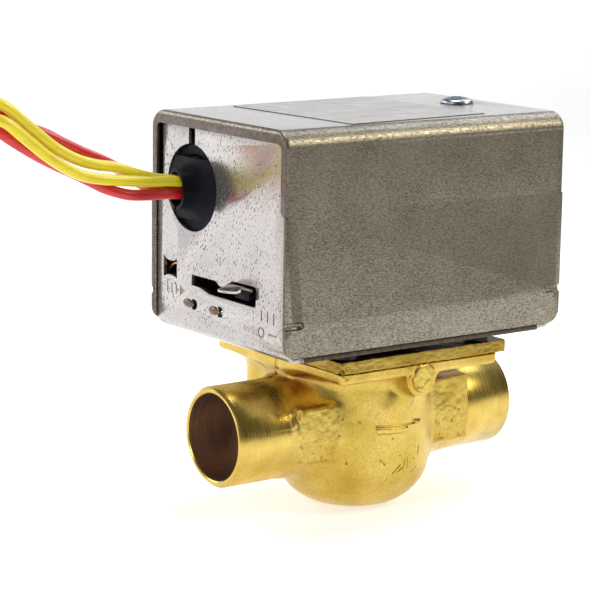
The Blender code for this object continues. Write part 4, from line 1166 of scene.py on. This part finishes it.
def threaded(name, node, head_out, shank, pitch, body="valve", finish="steel", axis="Z", dome=0.0):
    """A screw in place of a CAD one, with its head up along the axis.

    It has a rounded head with a cross recess, and ridges for its thread.
    """
    low, high = span(node)
    k = "XYZ".index(axis)
    length, radius = (high - low)[k], (high - low)[(k + 1) % 3] / 2
    core, tip = shank * 0.82, head_out - length
    outline = [(0.0, tip), (shank * 0.6, tip)]
    for n in range(int((length - head_out) / pitch)):
        foot = tip + n * pitch
        outline += [(core, foot + 0.15 * pitch), (shank, foot + 0.5 * pitch), (shank, foot + 0.6 * pitch)]
    rise = dome or min(0.5 * head_out, 0.8)
    head = [(radius * math.cos(a), head_out - rise + rise * math.sin(a)) for a in np.linspace(0, math.pi / 2, 8)]
    outline += [(core, 0.0), (radius, 0.0)] + head[:-1] + [(0.0, head_out)]
    seat = (low + high) / 2
    seat[k] = high[k] - head_out
    screw = solid(name, turned(outline, seat, axis, 40))
    arm, thin = radius * 0.62, radius * 0.16
    for a, b in ((arm, thin), (thin, arm)):
        carve(screw, [box(seat + Vector(placed(axis, head_out * 0.45, -a, -b)),
                          seat + Vector(placed(axis, head_out + 1, a, b)))])
    dress(screw, finish, body, "steel", node)


def make_fasteners():
    for k in range(1, 5):
        threaded(f"bonnet_fixing_{k}", f"bonnet_screw_{k}", 1.7, 1.7, 0.7, finish="dark_steel")
        threaded(f"motor_fixing_{k}", f"plate_screw_{k}", 1.7, 1.3, 0.5)
    for k in (1, 2):
        threaded(f"head_fixing_{k}", f"head_screw_{k}", 1.9, 1.3, 0.5, finish="dark_steel")
        threaded(f"switch_fixing_{k}", f"switch_screw_{k}", 1.3, 1.15, 0.45, axis="Y")
    threaded("cover_fixing", "cover_screw", 1.6, 1.5, 0.7, "cover_group", "blue_steel", dome=1.45)


# ---------------------------------------------------------------- inside the head

def upright(node):
    """The radius and the two heights of a round CAD node that stands up."""
    low, high = span(node)
    return (high.x - low.x) / 2, low.z, high.z


def make_motor():
    centre = (*MOTOR, 0)
    radius, low, high = upright("motor_can")
    outline = [(0, low), (radius, low), (radius, low + 0.9), (radius - 0.5, low + 1.4), (radius - 0.5, high - 1.8)]
    outline += arc((radius - 2.3, high - 1.8), 1.8, 0, 90, 6)
    outline += [(9.0, high), (8.4, high - 0.7), (4.6, high - 0.7), (4.0, high - 0.1), (0, high - 0.1)]
    can = solid("motor_shell", turned(outline, centre, steps=96))
    for k in range(4):
        tab = box((radius - 1.2, -2.2, low + 0.2), (radius, 2.2, low + 3.4), 0.3)
        join(can, spun(tab, centre, math.radians(45 + 90 * k)))
    break_edges(can, 0.1, 1, 50)
    dress(can, "galvanised", "valve", "galvanised", "motor_can")
    radius, low, high = upright("motor_gearbox")
    outline = [(0, low), (radius, low), (radius, low + 1.0), (radius - 0.4, low + 1.2), (radius - 0.4, high - 0.8),
               (radius - 1.2, high), (0, high)]
    gearbox = solid("gearbox_shell", turned(outline, centre, steps=96))
    pinion_low, pinion_high = span("motor_pinion")
    carve(gearbox, [rod(1.9, 60, 69.0, ((pinion_low + pinion_high) / 2).xy)])
    break_edges(gearbox, 0.12, 1, 50)
    dress(gearbox, "galvanised", "valve", "galvanised", "motor_gearbox")


def make_switch():
    low, high = span("end_switch_body")
    plunger = (-28.0, 60.1)
    body = solid("switch_moulding", box(low, high, 0.6, 3))
    carve(body, [box((x - 0.75, -21.3, 62.2), (x + 0.75, -17.7, 70)) for x in (-33.0, -27.0, -21.0)]
          + [rod(1.5, -30, -10, (x, 56.8), "Y") for x in (-33.6, -20.4)] + [rod(1.7, -21.0, -10, plunger, "Y")]
          + [box((low.x - 1, -19.5, low.z - 1), (high.x + 1, -19.25, 63.6))])
    join(body, tube(1.95, 2.7, high.y - 0.3, high.y + 0.59, plunger, "Y"))
    break_edges(body, 0.12)
    dress(body, "brown_plastic", "valve", "brown_plastic", "end_switch_body")


def make_spring():
    """The torsion spring: a coil round the stem at the top, and a long leg hooked on the head."""
    radius, low, high, sweep = 6.3, 49.4, 53.7, math.radians(3 * 360 + 40.5)
    coil = [(*polar(STEM, radius, math.pi / 2 - sweep * share), low + (high - low) * share)
            for share in np.linspace(0, 1, 150)]
    end = (*polar(coil[-1], 12, -sweep), high)
    leg = [(-40.0, 27.6, 58.0), (-40.2, 27.3, 59.4), (-40.3, 26.5, 60.9), (-40.3, 25.0, 62.3), (-40.2, 22.9, 63.2),
           (-39.6, 20.6, 62.4), (-38.2, 18.6, 58.0), (-34.0, 17.4, 53.0), (-26.0, 17.3, 50.4), (-14.0, 17.3, 49.4),
           coil[0], coil[4]]
    dress(as_mesh(wire("spring_leg", smooth_route(leg, 0.9)[:-3], 0.42, 4)), "spring_wire", "valve", "spring_wire")
    turning = as_mesh(wire("spring_coil", coil + [end], 0.5, 4))
    coat(turning, ("spring_wire",))
    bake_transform(turning)
    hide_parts("return_spring")


# ---------------------------------------------------------------- leads

def lead_route(name):
    """A lead's centreline: its free run, then a helix wound down onto the floor to use up its length."""
    number = list(LEAD_STARTS).index(name)
    run = LEAD_STARTS[name] + [tuple(a + b for a, b in zip(point, LEAD_SHIFTS[name])) for point in LEAD_TAIL]
    free = smooth_route(run, 1.5)
    radius, start = COIL_INNER + COIL_GAP * number, math.radians(COIL_ENTRY_DEG - COIL_ENTRY_STEP * number)
    sweep = 280.0 / radius
    for _ in range(6):
        top = COIL_FOOT + COIL_PITCH * sweep / (2 * math.pi)
        turns = np.linspace(0, sweep, round(sweep / math.radians(5)))
        helix = np.column_stack([COIL_CENTRE.x + radius * np.cos(start + turns),
                                 COIL_CENTRE.y + radius * np.sin(start + turns),
                                 top - COIL_PITCH * turns / (2 * math.pi)])
        pull = 1.45 * np.linalg.norm(helix[0] - free[-1])
        way_out, way_in = (v / np.linalg.norm(v) * pull for v in (free[-1] - free[-2], helix[1] - helix[0]))
        t = np.linspace(0, 1, 22)[1:-1, None]
        joining = ((2 * t**3 - 3 * t**2 + 1) * free[-1] + (t**3 - 2 * t**2 + t) * way_out
                   + (3 * t**2 - 2 * t**3) * helix[0] + (t**3 - t**2) * way_in)
        whole = np.vstack([free, joining, helix])
        sweep += (LEAD_LENGTH - np.linalg.norm(np.diff(whole, axis=0), axis=1).sum()) / radius
    return whole


def sleeve_colour(name):
    """The name of a lead's finish, which is also that of its slot."""
    return "yellow_pvc" if "yellow" in name else "red_pvc"


def sleeve(name, points, sides, *nodes):
    colour = sleeve_colour(name)
    return dress(wire(name + "_sleeve", points, LEAD_DIAMETER / 2, sides), colour, "valve", colour, *nodes)


def bare_end(name, route):
    """Seven copper strands that carry on round the coil from a lead's cut end."""
    x, y, z = route[-1]
    radius, start = math.hypot(x - COIL_CENTRE.x, y - COIL_CENTRE.y), math.atan2(y - COIL_CENTRE.y, x - COIL_CENTRE.x)
    shape = bmesh.new()
    for k in range(7):
        off, turn = (0.0, 0.0) if k == 6 else (0.62, math.radians(60 * k))
        strand = []
        for share in np.linspace(-0.1, 1, 14):
            lay = turn + 2.2 * share
            place = polar(COIL_CENTRE, radius + off * math.cos(lay), start + 9.0 * share / radius)
            strand.append((*place, z + off * math.sin(lay)))
        add_wire(shape, strand, 0.3, 2)
    return dress(solid(name + "_strands", shape, 50), "copper", "valve", sleeve_colour(name))


def make_tie(routes):
    """A strap drawn round the bundle, with its buckle on the outside."""
    angle = math.radians(TIE_DEG)
    out, along = np.array((math.cos(angle), math.sin(angle))), np.array((-math.sin(angle), math.cos(angle)))
    crossings = []
    for route in routes:
        flat = route[:, :2] - COIL_CENTRE.xy
        reach, side = flat @ out, flat @ along
        for k in np.flatnonzero((side[:-1] < 0) & (side[1:] >= 0) & (reach[:-1] > 0) & (route[:-1, 2] < 20)):
            crossings.append((reach[k], route[k, 2]))
    crossings = np.array(crossings)
    shape = bmesh.new()
    rings = []
    for phi in np.linspace(0, 2 * math.pi, 72, endpoint=False):
        way = np.array((math.cos(phi), math.sin(phi)))
        corner = crossings[np.argmax(crossings @ way)]
        ring = []
        for grow, side in ((1.55, -1.8), (1.85, -1.8), (1.85, 1.8), (1.55, 1.8)):
            reach, height = corner + way * grow
            place = COIL_CENTRE.xy + Vector(out * reach + along * side)
            ring.append(shape.verts.new((*place, max(height, 0.02))))
        rings.append(ring)
    skin(shape, rings + rings[:1])
    tie = solid("coil_tie", shape)
    far = crossings[:, 0].max() + 1.7
    join(tie, spun(box((far, -2.6, 3.0), (far + 2.8, 2.6, 7.6), 0.5), (COIL_CENTRE.x, COIL_CENTRE.y, 0), angle))
    return dress(tie, "black_plastic", "valve", "black_plastic")


def make_leads():
    routes = {name: lead_route(name) for name in LEAD_STARTS}
    tie = make_tie(routes.values())
    for name, route in routes.items():
        last = name == "lead_red_2"
        lead = sleeve(name, route, 7, name, *(["lead_coil"] if last else []))
        [bare_end(name, route)] + ([tie] if last else [])


def make_inner_leads():
    routes = {
        "inner_lead_yellow_1": [(-45.4, 11.2, 86.1), (-40, 11.2, 86.1), (-35, 10.8, 86.0), (-26, 2.6, 83.5),
                                (-18, -2, 80.6), (-9.4, -2.0, 79.5)],
        "inner_lead_yellow_2": [(-45.4, 14.2, 86.1), (-40, 14.2, 86.1), (-35, 14.1, 86.3), (-26, 8.8, 86.5),
                                (-18, 3, 83.2), (-13.0, 0.6, 81.0), (-9.4, 1.0, 79.7)],
        "inner_lead_red_1": [(-45.4, 11.2, 83.0), (-40, 11.2, 83.0), (-35.3, 10.4, 82.7), (-32.6, 4.5, 81.2),
                             (-32.2, -3, 79.0), (-32.8, -12, 77), (-33.0, -18, 74.5), (-33.0, -19.5, 72.3)],
        "inner_lead_red_2": [(-45.4, 14.2, 83.0), (-40, 14.2, 83.0), (-35, 14.1, 82.7), (-27, 6.6, 77.5),
                             (-22, -6, 76.0), (-21, -16, 75.2), (-21, -19.5, 72.3)],
    }
    for name, points in routes.items():
        sleeve(name, smooth_route(points, 1.5), 6, name)


# ---------------------------------------------------------------- carried-over CAD nodes

def refine_nodes():
    """Finishes for the CAD nodes that show as they are, with a weld and a small bevel so that they shade well."""
    slot_of = {part["node"]: part["material_slot"] for part in frame["record"]["subparts"]}
    for name, node in frame["nodes"].items():
        if node.hide_render:
            continue
        coat(node, ("gasket" if name == "bonnet_gasket" else slot_of[name],))
        weld = node.modifiers.new("weld", "WELD")
        weld.merge_threshold = 1e-6
        bevel(node, 0.08, 2, 40)
        node.data.shade_smooth()


def main():
    make_camera()
    make_leads()
    make_bushing()
    make_body()
    make_bonnet()
    make_cover()
    make_chassis()
    make_lever()
    make_label()
    make_fasteners()
    make_motor()
    make_switch()
    make_spring()
    make_inner_leads()
    refine_nodes()
    make_studio()


main()
